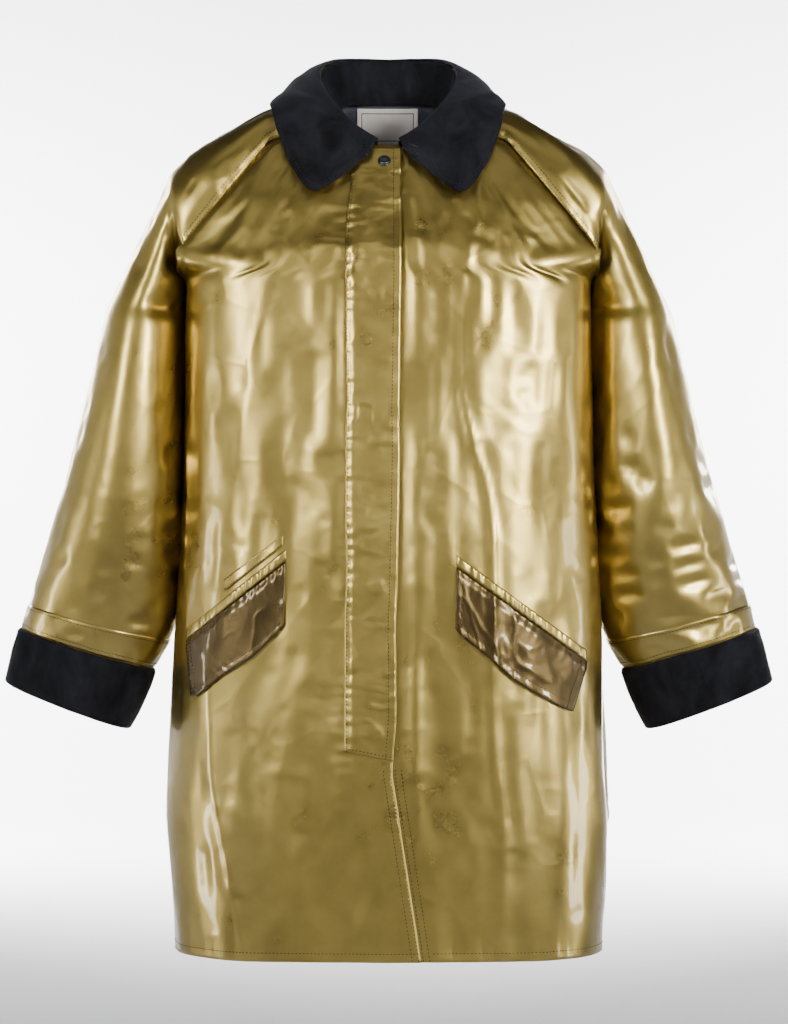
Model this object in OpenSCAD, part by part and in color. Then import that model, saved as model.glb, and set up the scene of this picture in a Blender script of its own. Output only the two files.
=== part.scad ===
// Thigh-length raincoat with raglan sleeves, a turned-down collar, turned-back cuffs and a snap fly.
// The origin is the centre of the neck opening, +Z is up and the front of the coat faces -Y.
// The wearer's left is at +X.

/* [Body] */
// Length from the neck point down to the hem
coat_len = 880; // [850:5:900]
// Width of the body just under the arms
chest_w = 424; // [420:1:426]
// Width of the body over the hips
hip_w = 466; // [456:2:470]
// Width of the body at the hem
hem_w = 444; // [436:2:452]
// Depth of the front half at the hem
front_d = 134; // [130:1:138]
// Depth of the back half at the hem
back_d = 128; // [120:1:134]
// Thickness of the coated outer cloth
shell_t = 1.6; // [1.2:0.1:1.8]
// Thickness of the lining
lining_t = 0.8; // [0.6:0.1:1]
// Height of the turned-up hem
hem_h = 24; // [16:1:30]

/* [Fly] */
// Where the fly is sewn down, measured from the centre line
fly_seam_x = -44; // [-46:1:-42]
// Bottom of the fly
fly_low = -676; // [-680:2:-660]
// Height at which the lifting part of the fly begins
fly_top = -150; // [-156:1:-150]
// Number of hidden snaps under the fly
snap_count = 4; // [3:1:5]
// Diameter of a snap cap
snap_d = 14; // [12:0.5:15]

/* [Sleeves] */
// Thickness of the turned-back cuff
cuff_t = 4; // [3:0.5:5]
// Height of the turned-back cuff
cuff_h = 42; // [36:1:46]

/* [Collar] */
// Thickness of a velvet collar leaf
collar_t = 2.4; // [2:0.2:3]
// Thickness of the under collar
under_t = 1.2; // [1:0.1:1.4]

/* [Pockets] */
// Thickness of a pocket flap
flap_t = 1.4; // [1.2:0.1:1.8]
// Depth of a pocket bag
bag_h = 150; // [120:5:160]

/* [Hidden] */
leaf_lift = 0.9;
lining_gap = 1.4;
side_gap = 0.5;
arm_z = -180;
yoke_z = -150;
neck_front_z = -42;
neck_side_z = -16;
neck_back_z = 24;
neck_end_z = 12;
snap_top_z = -62;
snap_low_z = -200;
snap_x = -12;
snap_pitch = 149;
top_snap_x = -4;
cap_rise = 0.3;
socket_depth = -6.2;
stud_depth = -8;
slit_drop = 14;
slit_share = 0.84;
slit_w = 6;
bag_front = -6;
bag_back = -26;
bag_wall = 2;
band_from = 0.826;
band_to = 0.858;
cuff_from = 1 - 0.0033 * cuff_h;
label_right = -34;
label_left = 32;
label_low = -23;
label_high = 15;
strip_w = 9;
gold = [0.62, 0.52, 0.28];
dark_gold = [0.5, 0.41, 0.22];
velvet = [0.09, 0.09, 0.11];
navy = [0.14, 0.17, 0.22];

// ---- body shape ----
function mix(a, b, t) = a + (b - a) * t;
function steps(n) = [for (k = [0:n]) k / n];
function bow(c, p) = sign(c) * pow(abs(c), 2 / p);
function half_w(z) = lookup(z, [
    [-coat_len, hem_w / 2], [-740, hip_w / 2], [-600, hip_w / 2 - 6], [-400, chest_w / 2 + 4],
    [arm_z, chest_w / 2], [yoke_z, 268], [-107, 255], [-65, 227], [-44, 205], [-22, 168], [0, 131], [26, 96]
]);
function front_y(z) = lookup(z, [[-coat_len, front_d], [yoke_z, 118], [-100, 105], [-65, 91], [-37, 75], [0, 58]]);
function rear_y(z) = lookup(z, [[-coat_len, back_d], [-400, 117], [-165, 116], [-100, 108], [-30, 86], [24, 64]]);
function square_p(z) = lookup(z, [[-400, 3.1], [arm_z, 4], [yoke_z, 2.4]]);
function edge_x(z) = lookup(z, [[-coat_len, 34], [-690, 5], [-400, 10], [-37, 13]]);
function seam_front_x(z) = lookup(z, [[arm_z, chest_w / 2], [yoke_z, 215], [-37, 122], [neck_side_z, 76]]);
function seam_back_x(z) = lookup(z, [[arm_z, chest_w / 2], [yoke_z, 215], [neck_end_z, 60]]);
function turn_at(x, z) = acos(sign(x) * min(1, pow(abs(x) / half_w(z), square_p(z) / 2)));
function front_at(x, z) = -front_y(z) * pow(1 - pow(abs(x) / half_w(z), square_p(z)), 1 / square_p(z));
function back_at(x, z) = rear_y(z) * pow(1 - pow(abs(x) / half_w(z), square_p(z)), 1 / square_p(z));
function side_turn(z, d) = asin(pow(side_gap / d, square_p(z) / 2));
function ring_pt(t, z, d) = [half_w(z) * bow(cos(t), square_p(z)), d * bow(sin(t), square_p(z)), z];

// rows of heights, closer together where the body turns into the yoke
body_rows = concat([for (k = [0:8]) mix(-coat_len, -400, k / 8)], [-340, -280, -230, -195, arm_z, -165, yoke_z]);
yoke_rows = [0.2, 0.4, 0.6, 0.8, 1];

// side is 1 on the wearer's left and -1 on the right; x0 and x1 are measured from the front edge
function front_grid(side, x0, cols, rows = body_rows, yoke = yoke_rows, x1 = 0) = concat(
    [for (z = rows) front_row(side, z, z, x0, cols, x1)],
    [for (k = yoke) front_row(side, mix(yoke_z, neck_front_z, k), mix(yoke_z, neck_side_z, k), x0, cols, x1)]
);
function front_stop(side, z, zs, x1) =
    x1 > 0 ? turn_at(side * edge_x(z) + x1, z) : zs <= arm_z ? side_turn(z, front_y(z)) : turn_at(seam_front_x(zs), z);
function front_row(side, zc, zs, x0, cols, x1) = [
    for (k = steps(cols))
        let(u = side > 0 ? k : 1 - k, z = x1 > 0 ? zc : mix(zc, zs, u * u), start = turn_at(side * edge_x(z) + x0, z))
            let(q = ring_pt(mix(start, front_stop(side, z, zs, x1), u), z, -front_y(z))) [side * q[0], q[1], q[2]]
];
function back_grid(cols, rows = body_rows, yoke = yoke_rows) = concat(
    [for (z = rows) back_row(z, z, cols)],
    [for (k = yoke) back_row(mix(yoke_z, neck_back_z, k), mix(yoke_z, neck_end_z, k), cols)]
);
function back_row(zc, zs, cols) = [
    for (u = steps(cols))
        let(w = 1 - 2 * u, z = mix(zc, zs, w * w), stop = zs <= arm_z ? side_turn(z, rear_y(z)) : turn_at(seam_back_x(zs), z))
            ring_pt(90 - w * (90 - stop), z, rear_y(z))
];

// ---- thin solids ----
function quad(a, b, c, d) = [[a, b, c], [a, c, d]];
function grid_normal(g, i, j, loop) =
    let(
        m = len(g) - 1, n = len(g[0]) - 1,
        up = g[min(i + 1, m)][j] - g[max(i - 1, 0)][j],
        right = loop ? g[i][(j + 1) % (n + 1)] - g[i][(j + n) % (n + 1)] : g[i][min(j + 1, n)] - g[i][max(j - 1, 0)],
        c = cross(right, up)
    ) c / norm(c);
function offset_grid(g, d, loop) = [
    for (i = [0:len(g) - 1]) [for (j = [0:len(g[0]) - 1]) g[i][j] + d * grid_normal(g, i, j, loop)]
];
function volume(p, f) = [for (t = f) p[t[0]] * cross(p[t[1]], p[t[2]])] * [for (t = f) 1 / 6];
function flipped(f) = [for (t = f) [t[2], t[1], t[0]]];

// solid between two grids of points; loop joins the last column to the first
module sheet(g, low, high, loop = false) {
    m = len(g);
    n = len(g[0]);
    last = loop ? n - 1 : n - 2;
    top = offset_grid(g, high, loop);
    base = offset_grid(g, low, loop);
    pts = concat([for (r = top) each r], [for (r = base) each r]);
    k = m * n;
    faces = concat(
        [for (i = [0:m - 2], j = [0:last]) let(e = (j + 1) % n)
            each quad(i * n + j, i * n + e, (i + 1) * n + e, (i + 1) * n + j)],
        [for (i = [0:m - 2], j = [0:last]) let(e = (j + 1) % n)
            each quad(k + (i + 1) * n + j, k + (i + 1) * n + e, k + i * n + e, k + i * n + j)],
        [for (j = [0:last]) let(e = (j + 1) % n) each quad(e, j, k + j, k + e)],
        [for (j = [0:last]) let(e = (j + 1) % n, b = (m - 1) * n) each quad(b + j, b + e, k + b + e, k + b + j)],
        loop ? [] : [for (i = [0:m - 2]) each quad(i * n, (i + 1) * n, k + (i + 1) * n, k + i * n)],
        loop ? [] : [for (i = [0:m - 2]) let(b = n - 1)
            each quad((i + 1) * n + b, i * n + b, k + i * n + b, k + (i + 1) * n + b)]
    );
    polyhedron(points = pts, faces = volume(pts, faces) > 0 ? flipped(faces) : faces);
}

// grid on the front of the body between two edges, each a list of [x, z] corners
function on_front(low_edge, high_edge, cols, rows) = [
    for (v = steps(rows)) [
        for (u = steps(cols))
            let(a = along(low_edge, u), b = along(high_edge, u), x = mix(a[0], b[0], v), z = mix(a[1], b[1], v))
                [x, front_at(x, z), z]
    ]
];
function along(edge, u) =
    let(n = len(edge) - 1, k = min(floor(u * n), n - 1)) mix(edge[k], edge[k + 1], u * n - k);

// smooth curve through hand-placed points
function curve(c, u) =
    let(
        n = len(c) - 1, k = min(floor(u * n), n - 1), t = u * n - k,
        a = c[max(k - 1, 0)], b = c[k], d = c[k + 1], e = c[min(k + 2, n)]
    ) b + 0.5 * t * ((d - a) + t * (2 * a - 5 * b + 4 * d - e + t * (3 * (b - d) + e - a)));

// ---- body panels ----
hem_rows = [for (k = [0:2]) -coat_len + 1 + hem_h * k / 2];
low_lining = -coat_len + hem_h + 4;
lining_rows = concat([low_lining], [for (z = body_rows) if (z > low_lining + 36) z]);
low_rows = [for (z = lining_rows) if (z < arm_z - 10) z];
high_rows = [for (k = [0:4]) mix(0.12, 0.96, k / 4)];
inner_low = -shell_t - lining_gap - lining_t;
inner_high = -shell_t - lining_gap;

module back_panel() {
    color(gold) sheet(back_grid(24), -shell_t, 0);
}

module front_panel(side) {
    color(gold) difference() {
        sheet(front_grid(side, side > 0 ? 1 : 0, 16), -shell_t, 0);
        pocket_slit(side);
    }
}

// the lining is in two pieces, below the arms and over the chest, open where the sleeves go in
module back_lining() {
    color(navy) {
        sheet(back_grid(24, rows = low_rows, yoke = []), inner_low, inner_high);
        sheet(back_grid(24, rows = [], yoke = high_rows), inner_low, inner_high);
    }
}

module front_lining(side) {
    color(navy) difference() {
        sheet(front_grid(side, 62, 16, rows = low_rows, yoke = []), inner_low, inner_high);
        pocket_slit(side);
    }
}

module chest_lining(side) {
    color(navy) sheet(front_grid(side, 62, 16, rows = [], yoke = high_rows), inner_low, inner_high);
}

module front_facing(side) {
    color(dark_gold) sheet(
        front_grid(side, 2, 3, rows = lining_rows, x1 = 60), inner_low, inner_high);
}

module hem_band_back() {
    color(dark_gold) sheet(back_grid(24, rows = hem_rows, yoke = []), inner_low, inner_high);
}

module hem_band_front(side) {
    color(dark_gold) sheet(front_grid(side, 2, 16, rows = hem_rows, yoke = []), inner_low, inner_high);
}

// ---- raglan shoulder, an arch from the front seam over to the back seam ----
function ridge_z(x) = lookup(x, [[84, 23], [96, 18], [131, 0], [168, -22], [205, -44], [227, -65]]);
function shoulder_row(w) =
    let(
        fx = mix(78, 216, w), fz = lookup(fx, [[78, neck_side_z], [124, -36], [216, yoke_z]]),
        bx = mix(62, 216, w), bz = lookup(bx, [[62, neck_end_z - 1], [216, yoke_z]]),
        tx = mix(84, 226, w), p = mix(2.2, 3, w),
        f = [fx, front_at(fx, fz), fz], b = [bx, back_at(bx, bz), bz], t = [tx, (f[1] + b[1]) / 2, ridge_z(tx)]
    ) [for (k = steps(12))
        let(s = 1 - k, base = mix(f, b, (1 - bow(cos(180 * s), p)) / 2), crown = t - mix(f, b, 0.5))
            base + crown * bow(sin(180 * s), p)];

module shoulder() {
    color(gold) sheet([for (w = steps(7)) shoulder_row(w)], -shell_t / 2, shell_t / 2);
}

module shoulder_lining() {
    color(navy) sheet([for (w = steps(5)) shoulder_row(0.7 * w)], inner_low, inner_high);
}

// ---- fly and snaps ----
fly_low_edge = [[fly_seam_x, fly_low + 10], [edge_x(fly_low) + 1, fly_low]];
fly_high_edge = [[fly_seam_x, fly_top], [edge_x(fly_top) + 1, fly_top]];
fly_in = 2;
fly_out = 3.4;
function front_tilt(z) = atan2(front_y(z - 3) - front_y(z + 3), 6);

module fly_strip() {
    color(gold) sheet(on_front(fly_low_edge, fly_high_edge, 3, 14), fly_in, fly_out);
}

module fly_upper() {
    low = [[fly_seam_x, fly_top + 1], [edge_x(fly_top) + 1, fly_top + 1]];
    high = [[-36, neck_front_z - 3], [edge_x(neck_front_z) + 1, neck_front_z - 3]];
    color(gold) sheet(on_front(low, high, 3, 6), fly_in, fly_out);
}

module snap_at(z, x, depth) {
    translate([x, front_at(x, z), z]) rotate([90 - front_tilt(z), 0, 0]) translate([0, 0, depth]) children();
}

module every_snap() {
    snap_at(snap_top_z, top_snap_x, 0) children();
    for (k = [0:snap_count - 1]) snap_at(snap_low_z - k * snap_pitch, snap_x, 0) children();
}

module dome(d, h) {
    rim = h / 3;
    rotate_extrude($fn = 48) polygon(concat(
        [[0, 0], [d / 2, 0]],
        [for (k = [0:6]) [d / 2 * cos(k * 15), rim + (h - rim) * sin(k * 15)]]
    ));
}

module top_snap_cap() {
    color(velvet) snap_at(snap_top_z, top_snap_x, fly_out + 0.4) dome(snap_d, 3.4);
}

module hidden_snap_caps() {
    color(velvet) for (k = [0:snap_count - 1])
        snap_at(snap_low_z - k * snap_pitch, snap_x, cap_rise) cylinder(d = snap_d, h = 1.3, $fn = 40);
}

module snap_sockets() {
    color("silver") every_snap() translate([0, 0, socket_depth]) difference() {
        cylinder(d = snap_d - 2, h = 1.8, $fn = 40);
        translate([0, 0, -1]) cylinder(d = 5, h = 2.2, $fn = 32);
    }
}

module snap_studs() {
    color("silver") every_snap() translate([0, 0, stud_depth]) union() {
        cylinder(d = snap_d - 2, h = 1.2, $fn = 40);
        cylinder(d = 4.6, h = 2.6, $fn = 32);
    }
}

module under_placket() {
    low = [[-38, fly_low - 10], [8, fly_low - 10]];
    high = [[-32, neck_front_z - 8], [8, neck_front_z - 8]];
    color(dark_gold) sheet(on_front(low, high, 3, 16), -9.6, -8.4);
}

// ---- collar, with the wearer's left half drawn first and the right half mirrored ----
roll_line = [
    [0, 64, 62], [28, 62, 62], [54, 48, 59], [69, 22, 49], [71, -4, 34], [65, -28, 18], [53, -50, 0],
    [33, -70, -22], [11, -80, -38]
];
fall_line = [
    [0, 88, 46], [44, 84, 46], [84, 62, 45], [106, 28, 38], [110, -12, 28], [104, -52, 8], [88, -82, -16],
    [60, -94, -38], [16, -90, -44]
];
edge_line = [
    [0, 92, -6], [54, 90, -5], [104, 66, 4], [132, 22, 13], [130, -34, 7], [117, -74, -27], [100, -96, -65],
    [72, -111, -94], [18, -92, -50]
];
neck_line = [
    [0, 60, 26], [26, 59, 26], [46, 46, 24], [58, 22, 16], [60, 0, 4], [54, -22, -8], [42, -42, -20],
    [26, -58, -30], [10, -66, -34]
];
leaf_split = 0.4;
leaf_gap = 0.012;

function leaf_pt(u, v) =
    let(
        a = curve(roll_line, u), b = curve(fall_line, u), c = curve(edge_line, u),
        side = 2 * v * (1 - v)
    ) (1 - v) * (1 - v) * a + side * b + v * v * c;
function leaf_grid(from, to, cols) = [for (v = steps(6)) [for (k = steps(cols)) leaf_pt(mix(from, to, k), v)]];
function back_leaf_grid(cols) = [
    for (v = steps(6)) [
        for (k = steps(cols)) let(u = mix(-leaf_split, leaf_split, k), q = leaf_pt(abs(u), v)) [sign(u) * q[0], q[1], q[2]]
    ]
];
function stand_grid(cols) = [
    for (v = steps(2)) [
        for (k = steps(cols))
            let(u = mix(-1, 1, k), a = curve(neck_line, abs(u)), b = curve(roll_line, abs(u)) - [0, 0, 4])
                let(q = mix(a, [b[0] * 0.93, b[1] * 0.93, b[2]], v)) [sign(u) * q[0], q[1], q[2]]
    ]
];

module collar_leaf() {
    color(velvet) sheet(leaf_grid(leaf_split + leaf_gap, 1, 12), under_t + leaf_lift, under_t + leaf_lift + collar_t);
}

module under_collar() {
    color(gold) sheet(leaf_grid(leaf_split + leaf_gap, 1, 12), 0, under_t);
}

module collar_back() {
    color(velvet) sheet(back_leaf_grid(14), under_t + leaf_lift, under_t + leaf_lift + collar_t);
}

module under_collar_back() {
    color(gold) sheet(back_leaf_grid(14), 0, under_t);
}

module collar_stand() {
    color(velvet) sheet(stand_grid(26), -0.8, 0.8);
}

module neck_label() {
    color("ivory") sheet([
        for (v = steps(2)) [
            for (u = steps(4)) let(x = mix(label_left, label_right, u), z = mix(label_low, label_high, v)) [x, back_at(x, z), z]
        ]
    ], inner_low - 2.2, inner_low - 1.4);
}

// ---- pockets ----
// ends of each flap's sewn edge, and the corners of its lower edge
flap_top = [[[-208, -554], [-104, -472]], [[70, -478], [204, -576]]];
flap_foot = [[[-200, -616], [-138, -570], [-106, -540]], [[68, -544], [120, -590], [188, -630]]];
function pick(side) = side > 0 ? 1 : 0;
function raised(edge, dz) = [for (q = edge) [q[0], q[1] + dz]];
function flap_grid(side) = on_front(flap_foot[pick(side)], flap_top[pick(side)], 12, 4);

module pocket_flap(side) {
    color(dark_gold) sheet(flap_grid(side), 2.3, 2.3 + flap_t);
}

module flap_facing(side) {
    inset = 9;
    edge = raised(flap_top[pick(side)], -inset);
    color(dark_gold) sheet(on_front(flap_foot[pick(side)], edge, 12, 3), 0.7, 1.5);
}

module pocket_strip(side) {
    top = flap_top[pick(side)];
    color(gold) sheet(on_front(raised(top, 3), raised(top, 3 + strip_w), 12, 1), 0.3, 1.4);
}

module pocket_slit(side) {
    top = flap_top[pick(side)];
    run = top[1] - top[0];
    mid = (top[0] + top[1]) / 2;
    translate([mid[0], -100, mid[1] - slit_drop]) rotate([0, -atan2(run[1], run[0]), 0])
        cube([norm(run) * slit_share, 90, slit_w], center = true);
}

function bag_edge(side, drop) =
    let(top = flap_top[pick(side)]) [for (k = [0.08, 0.92]) mix(top[0], top[1], k) - [0, drop]];

module pocket_bag(side) {
    color(navy) difference() {
        sheet(on_front(bag_edge(side, bag_h), bag_edge(side, 8), 8, 3), bag_back, bag_front);
        sheet(on_front(
            [for (q = bag_edge(side, bag_h)) mix(q, [side * 140, q[1]], 0.05) + [0, 3]],
            [for (q = bag_edge(side, 4)) mix(q, [side * 140, q[1]], 0.05)], 8, 3),
            bag_back + bag_wall, bag_front - bag_wall);
    }
}

module slit_pocket_welt() {
    color(gold) sheet(on_front([[-166, -500], [-108, -455]], [[-166, -493], [-108, -448]], 6, 1), 0.3, 1.8);
}

module slit_pocket_bag() {
    color(navy) sheet(on_front([[-172, -490], [-108, -440]], [[-166, -400], [-102, -350]], 4, 3), -6.6, -5.2);
}

// ---- sleeves, drawn for the wearer's left and mirrored for the right ----
// each station: centre x, centre z, tilt of the section, half width, half depth
sleeve_stations = [
    [194, -116, 55, 44, 54], [223, -138, 30, 41, 61], [252, -172, 5, 36, 67], [268, -277, 2, 46, 77],
    [285, -405, 6, 61, 74], [302, -500, 12, 71, 64], [323, -576, 18, 72, 52], [341, -627, 21, 67, 47]
];
function sleeve_ring(u, segs) =
    let(s = curve(sleeve_stations, u)) [
        for (k = [0:segs - 1])
            let(a = -360 * k / segs)
                [s[0] + s[3] * cos(a) * cos(s[2]), s[4] * sin(a), s[1] + s[3] * cos(a) * sin(s[2])]
    ];
function sleeve_grid(from, to, rows, segs) = [for (k = steps(rows)) sleeve_ring(mix(from, to, k), segs)];

module sleeve() {
    color(gold) sheet(sleeve_grid(0, 1, 14, 24), -shell_t, 0, loop = true);
}

module sleeve_lining() {
    color(navy) sheet(sleeve_grid(0, 0.98, 14, 24), inner_low, inner_high, loop = true);
}

module sleeve_band() {
    color(dark_gold) sheet(sleeve_grid(band_from, band_to, 1, 24), 0.4, 1.6, loop = true);
}

module cuff() {
    color(velvet) sheet(sleeve_grid(cuff_from, 1, 3, 24), 1, 1 + cuff_t, loop = true);
}

back_panel();
front_panel(-1);  // front_panel_right
front_panel(1);  // front_panel_left
mirror([1, 0, 0]) shoulder();  // shoulder_right
shoulder();  // shoulder_left
mirror([1, 0, 0]) shoulder_lining();  // shoulder_lining_right
shoulder_lining();  // shoulder_lining_left
back_lining();
front_lining(-1);  // front_lining_right
front_lining(1);  // front_lining_left
chest_lining(-1);  // chest_lining_right
chest_lining(1);  // chest_lining_left
hem_band_back();
hem_band_front(-1);  // hem_band_right
hem_band_front(1);  // hem_band_left
front_facing(-1);  // front_facing_right
front_facing(1);  // front_facing_left
fly_upper();
fly_strip();
under_placket();
top_snap_cap();
hidden_snap_caps();
snap_sockets();
snap_studs();
collar_stand();
collar_back();
mirror([1, 0, 0]) collar_leaf();  // collar_leaf_right
collar_leaf();  // collar_leaf_left
under_collar_back();
mirror([1, 0, 0]) under_collar();  // under_collar_right
under_collar();  // under_collar_left
neck_label();
pocket_strip(-1);  // pocket_strip_right
pocket_strip(1);  // pocket_strip_left
pocket_flap(-1);  // pocket_flap_right
pocket_flap(1);  // pocket_flap_left
flap_facing(-1);  // flap_facing_right
flap_facing(1);  // flap_facing_left
pocket_bag(-1);  // pocket_bag_right
pocket_bag(1);  // pocket_bag_left
slit_pocket_welt();
slit_pocket_bag();
mirror([1, 0, 0]) sleeve();  // sleeve_right
sleeve();  // sleeve_left
mirror([1, 0, 0]) sleeve_lining();  // sleeve_lining_right
sleeve_lining();  // sleeve_lining_left
mirror([1, 0, 0]) sleeve_band();  // sleeve_band_right
sleeve_band();  // sleeve_band_left
mirror([1, 0, 0]) cuff();  // cuff_right
cuff();  // cuff_left
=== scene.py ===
import math
import bpy
import numpy as np
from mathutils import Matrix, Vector


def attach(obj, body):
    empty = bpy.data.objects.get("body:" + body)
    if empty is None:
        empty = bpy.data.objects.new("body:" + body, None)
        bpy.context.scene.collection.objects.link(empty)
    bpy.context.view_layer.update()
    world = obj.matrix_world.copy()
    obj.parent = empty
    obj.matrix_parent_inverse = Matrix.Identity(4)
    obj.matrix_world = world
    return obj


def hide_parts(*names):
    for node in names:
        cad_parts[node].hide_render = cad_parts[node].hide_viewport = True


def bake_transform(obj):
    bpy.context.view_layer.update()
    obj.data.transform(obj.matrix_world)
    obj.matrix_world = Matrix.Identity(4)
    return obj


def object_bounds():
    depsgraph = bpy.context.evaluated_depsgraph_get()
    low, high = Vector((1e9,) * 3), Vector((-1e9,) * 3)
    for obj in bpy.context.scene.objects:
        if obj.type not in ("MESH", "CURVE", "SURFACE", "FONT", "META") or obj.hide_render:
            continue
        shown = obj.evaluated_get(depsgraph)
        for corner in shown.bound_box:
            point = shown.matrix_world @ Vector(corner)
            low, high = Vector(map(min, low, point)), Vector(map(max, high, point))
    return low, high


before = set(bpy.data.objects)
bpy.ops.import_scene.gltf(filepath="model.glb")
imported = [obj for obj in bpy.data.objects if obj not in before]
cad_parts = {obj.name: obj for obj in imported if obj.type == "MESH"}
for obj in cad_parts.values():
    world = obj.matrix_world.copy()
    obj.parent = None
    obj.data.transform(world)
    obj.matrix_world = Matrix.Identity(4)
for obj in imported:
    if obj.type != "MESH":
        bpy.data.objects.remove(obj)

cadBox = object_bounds()
mm = 0.001
print("frame loaded")

# camera and studio
studio = {
    "cameraDistance": 3.0,
    "pictureHeight": 1.0885,   # height of the picture where the coat hangs
    "aimX": 0.006,
    "aimZ": -0.422,
    "floorDrop": 0.75,         # floor below the hem
    "leftLight": 3.2,
    "rightLight": 6.0,
    "edgeLight": 10.0,
    "frontLight": 0.5,
    "topLight": 3.0,
    "wallLight": 520.0,
    "otherWallLight": 6.0,
    "backLight": 5.0,
    "wallDistance": 9.0,       # the paper stands all round, with a bend up from the floor
    "wallHeight": 6.5, "wallBend": 1.0, "wallCorners": 72,
    "worldStrength": 0.05,
}


def addLight(name, place, aim, sizeX, sizeY, power, spread=180):
    data = bpy.data.lights.new(name, "AREA")
    data.spread = math.radians(spread)
    data.shape = "RECTANGLE"
    data.size = sizeX
    data.size_y = sizeY
    data.energy = power
    lamp = bpy.data.objects.new(name, data)
    bpy.context.scene.collection.objects.link(lamp)
    lamp.location = place
    lamp.rotation_euler = (Vector(aim) - Vector(place)).to_track_quat("-Z", "Y").to_euler()
    return lamp


def makeStudio():
    camData = bpy.data.cameras.new("camera")
    camData.sensor_width = 36
    camData.lens = 36 * studio["cameraDistance"] / studio["pictureHeight"]
    cam = bpy.data.objects.new("camera", camData)
    cam.location = (studio["aimX"], -studio["cameraDistance"], studio["aimZ"])
    cam.rotation_euler = (math.radians(90), 0, 0)
    bpy.context.scene.collection.objects.link(cam)
    bpy.context.scene.camera = cam

    world = bpy.data.worlds.new("studioWorld")
    world.use_nodes = True
    world.node_tree.nodes["Background"].inputs["Color"].default_value = (0.95, 0.97, 1, 1)
    world.node_tree.nodes["Background"].inputs["Strength"].default_value = studio["worldStrength"]
    bpy.context.scene.world = world

    floorZ = cadBox[0][2] - studio["floorDrop"]
    bend = studio["wallBend"]
    far = studio["wallDistance"]
    profile = [(0.0, floorZ), (far - bend, floorZ)]
    profile += [(far - bend + bend * math.sin(a), floorZ + bend * (1 - math.cos(a)))
                for a in [math.pi / 2 * k / 8 for k in range(1, 9)]]
    profile += [(far, floorZ + studio["wallHeight"])]
    count = studio["wallCorners"]
    verts = []
    for radius, z in profile:
        for k in range(count):
            a = 2 * math.pi * k / count
            verts.append((radius * math.cos(a), radius * math.sin(a), z))
    faces = []
    for row in range(len(profile) - 1):
        for k in range(count):
            e = (k + 1) % count
            a = row * count
            if row == 0:
                faces.append((0, a + count + k, a + count + e))
            else:
                faces.append((a + k, a + count + k, a + count + e, a + e))
    mesh = bpy.data.meshes.new("sweep")
    mesh.from_pydata(verts, [], faces)
    sweep = bpy.data.objects.new("sweep", mesh)
    bpy.context.scene.collection.objects.link(sweep)
    paper = bpy.data.materials.new("paper")
    paper.use_nodes = True
    paper.node_tree.nodes["Principled BSDF"].inputs["Base Color"].default_value = (0.93, 0.93, 0.93, 1)
    paper.node_tree.nodes["Principled BSDF"].inputs["Roughness"].default_value = 0.9
    mesh.materials.append(paper)
    for p in mesh.polygons:
        p.use_smooth = True

    aim = (0, 0, -0.42)
    addLight("softLeft", (-1.45, -2.2, 0.2), (0, 0, -0.14), 0.5, 0.8, studio["leftLight"], 50)
    addLight("softRight", (1.45, -2.2, 0.15), (0, 0, -0.14), 0.5, 0.8, studio["rightLight"], 50)
    addLight("edgeLeft", (-2.2, -0.6, -0.75), (0, 0, -0.7), 0.3, 0.9, studio["edgeLight"])
    addLight("edgeRight", (2.2, -0.6, -0.75), (0, 0, -0.7), 0.3, 0.9, studio["edgeLight"])
    addLight("softTop", (0.0, -0.9, 1.7), (0, 0, -0.3), 1.8, 1.0, studio["topLight"])
    addLight("softFront", (-0.5, -3.4, 0.7), aim, 1.0, 1.0, studio["frontLight"])
    addLight("wallLeft", (-2.4, 6.6, 0.4), (0, 9.0, -0.5), 1.5, 2.0, studio["wallLight"])
    addLight("wallRight", (2.4, 6.6, 0.4), (0, 9.0, -0.5), 1.5, 2.0, studio["wallLight"])
    addLight("otherWallLeft", (-2.6, -6.8, 0.6), (-1.0, -9.0, 0), 1.5, 2.0, studio["otherWallLight"])
    addLight("otherWallRight", (2.6, -6.8, 0.6), (1.0, -9.0, 0), 1.5, 2.0, studio["otherWallLight"])
    addLight("backLeft", (-1.6, 2.3, 0.4), (0, 0, -0.3), 0.6, 1.0, studio["backLight"], 60)
    addLight("backRight", (1.6, 2.3, 0.4), (0, 0, -0.3), 0.6, 1.0, studio["backLight"], 60)


makeStudio()
print("studio ready")


# materials
class Wire:   # one socket, with arithmetic that adds Math nodes
    def __init__(self, bench, socket):
        self.bench = bench
        self.socket = socket

    def math(self, how, a, b=None):
        values = {0: a} if b is None else {0: a, 1: b}
        return self.bench.node("ShaderNodeMath", {"operation": how}, values)

    def __add__(self, other):
        return self.math("ADD", self, other)

    def __radd__(self, other):
        return self.math("ADD", other, self)

    def __sub__(self, other):
        return self.math("SUBTRACT", self, other)

    def __rsub__(self, other):
        return self.math("SUBTRACT", other, self)

    def __mul__(self, other):
        return self.math("MULTIPLY", self, other)

    def __rmul__(self, other):
        return self.math("MULTIPLY", other, self)

    def __abs__(self):
        return self.math("ABSOLUTE", self)


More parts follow.
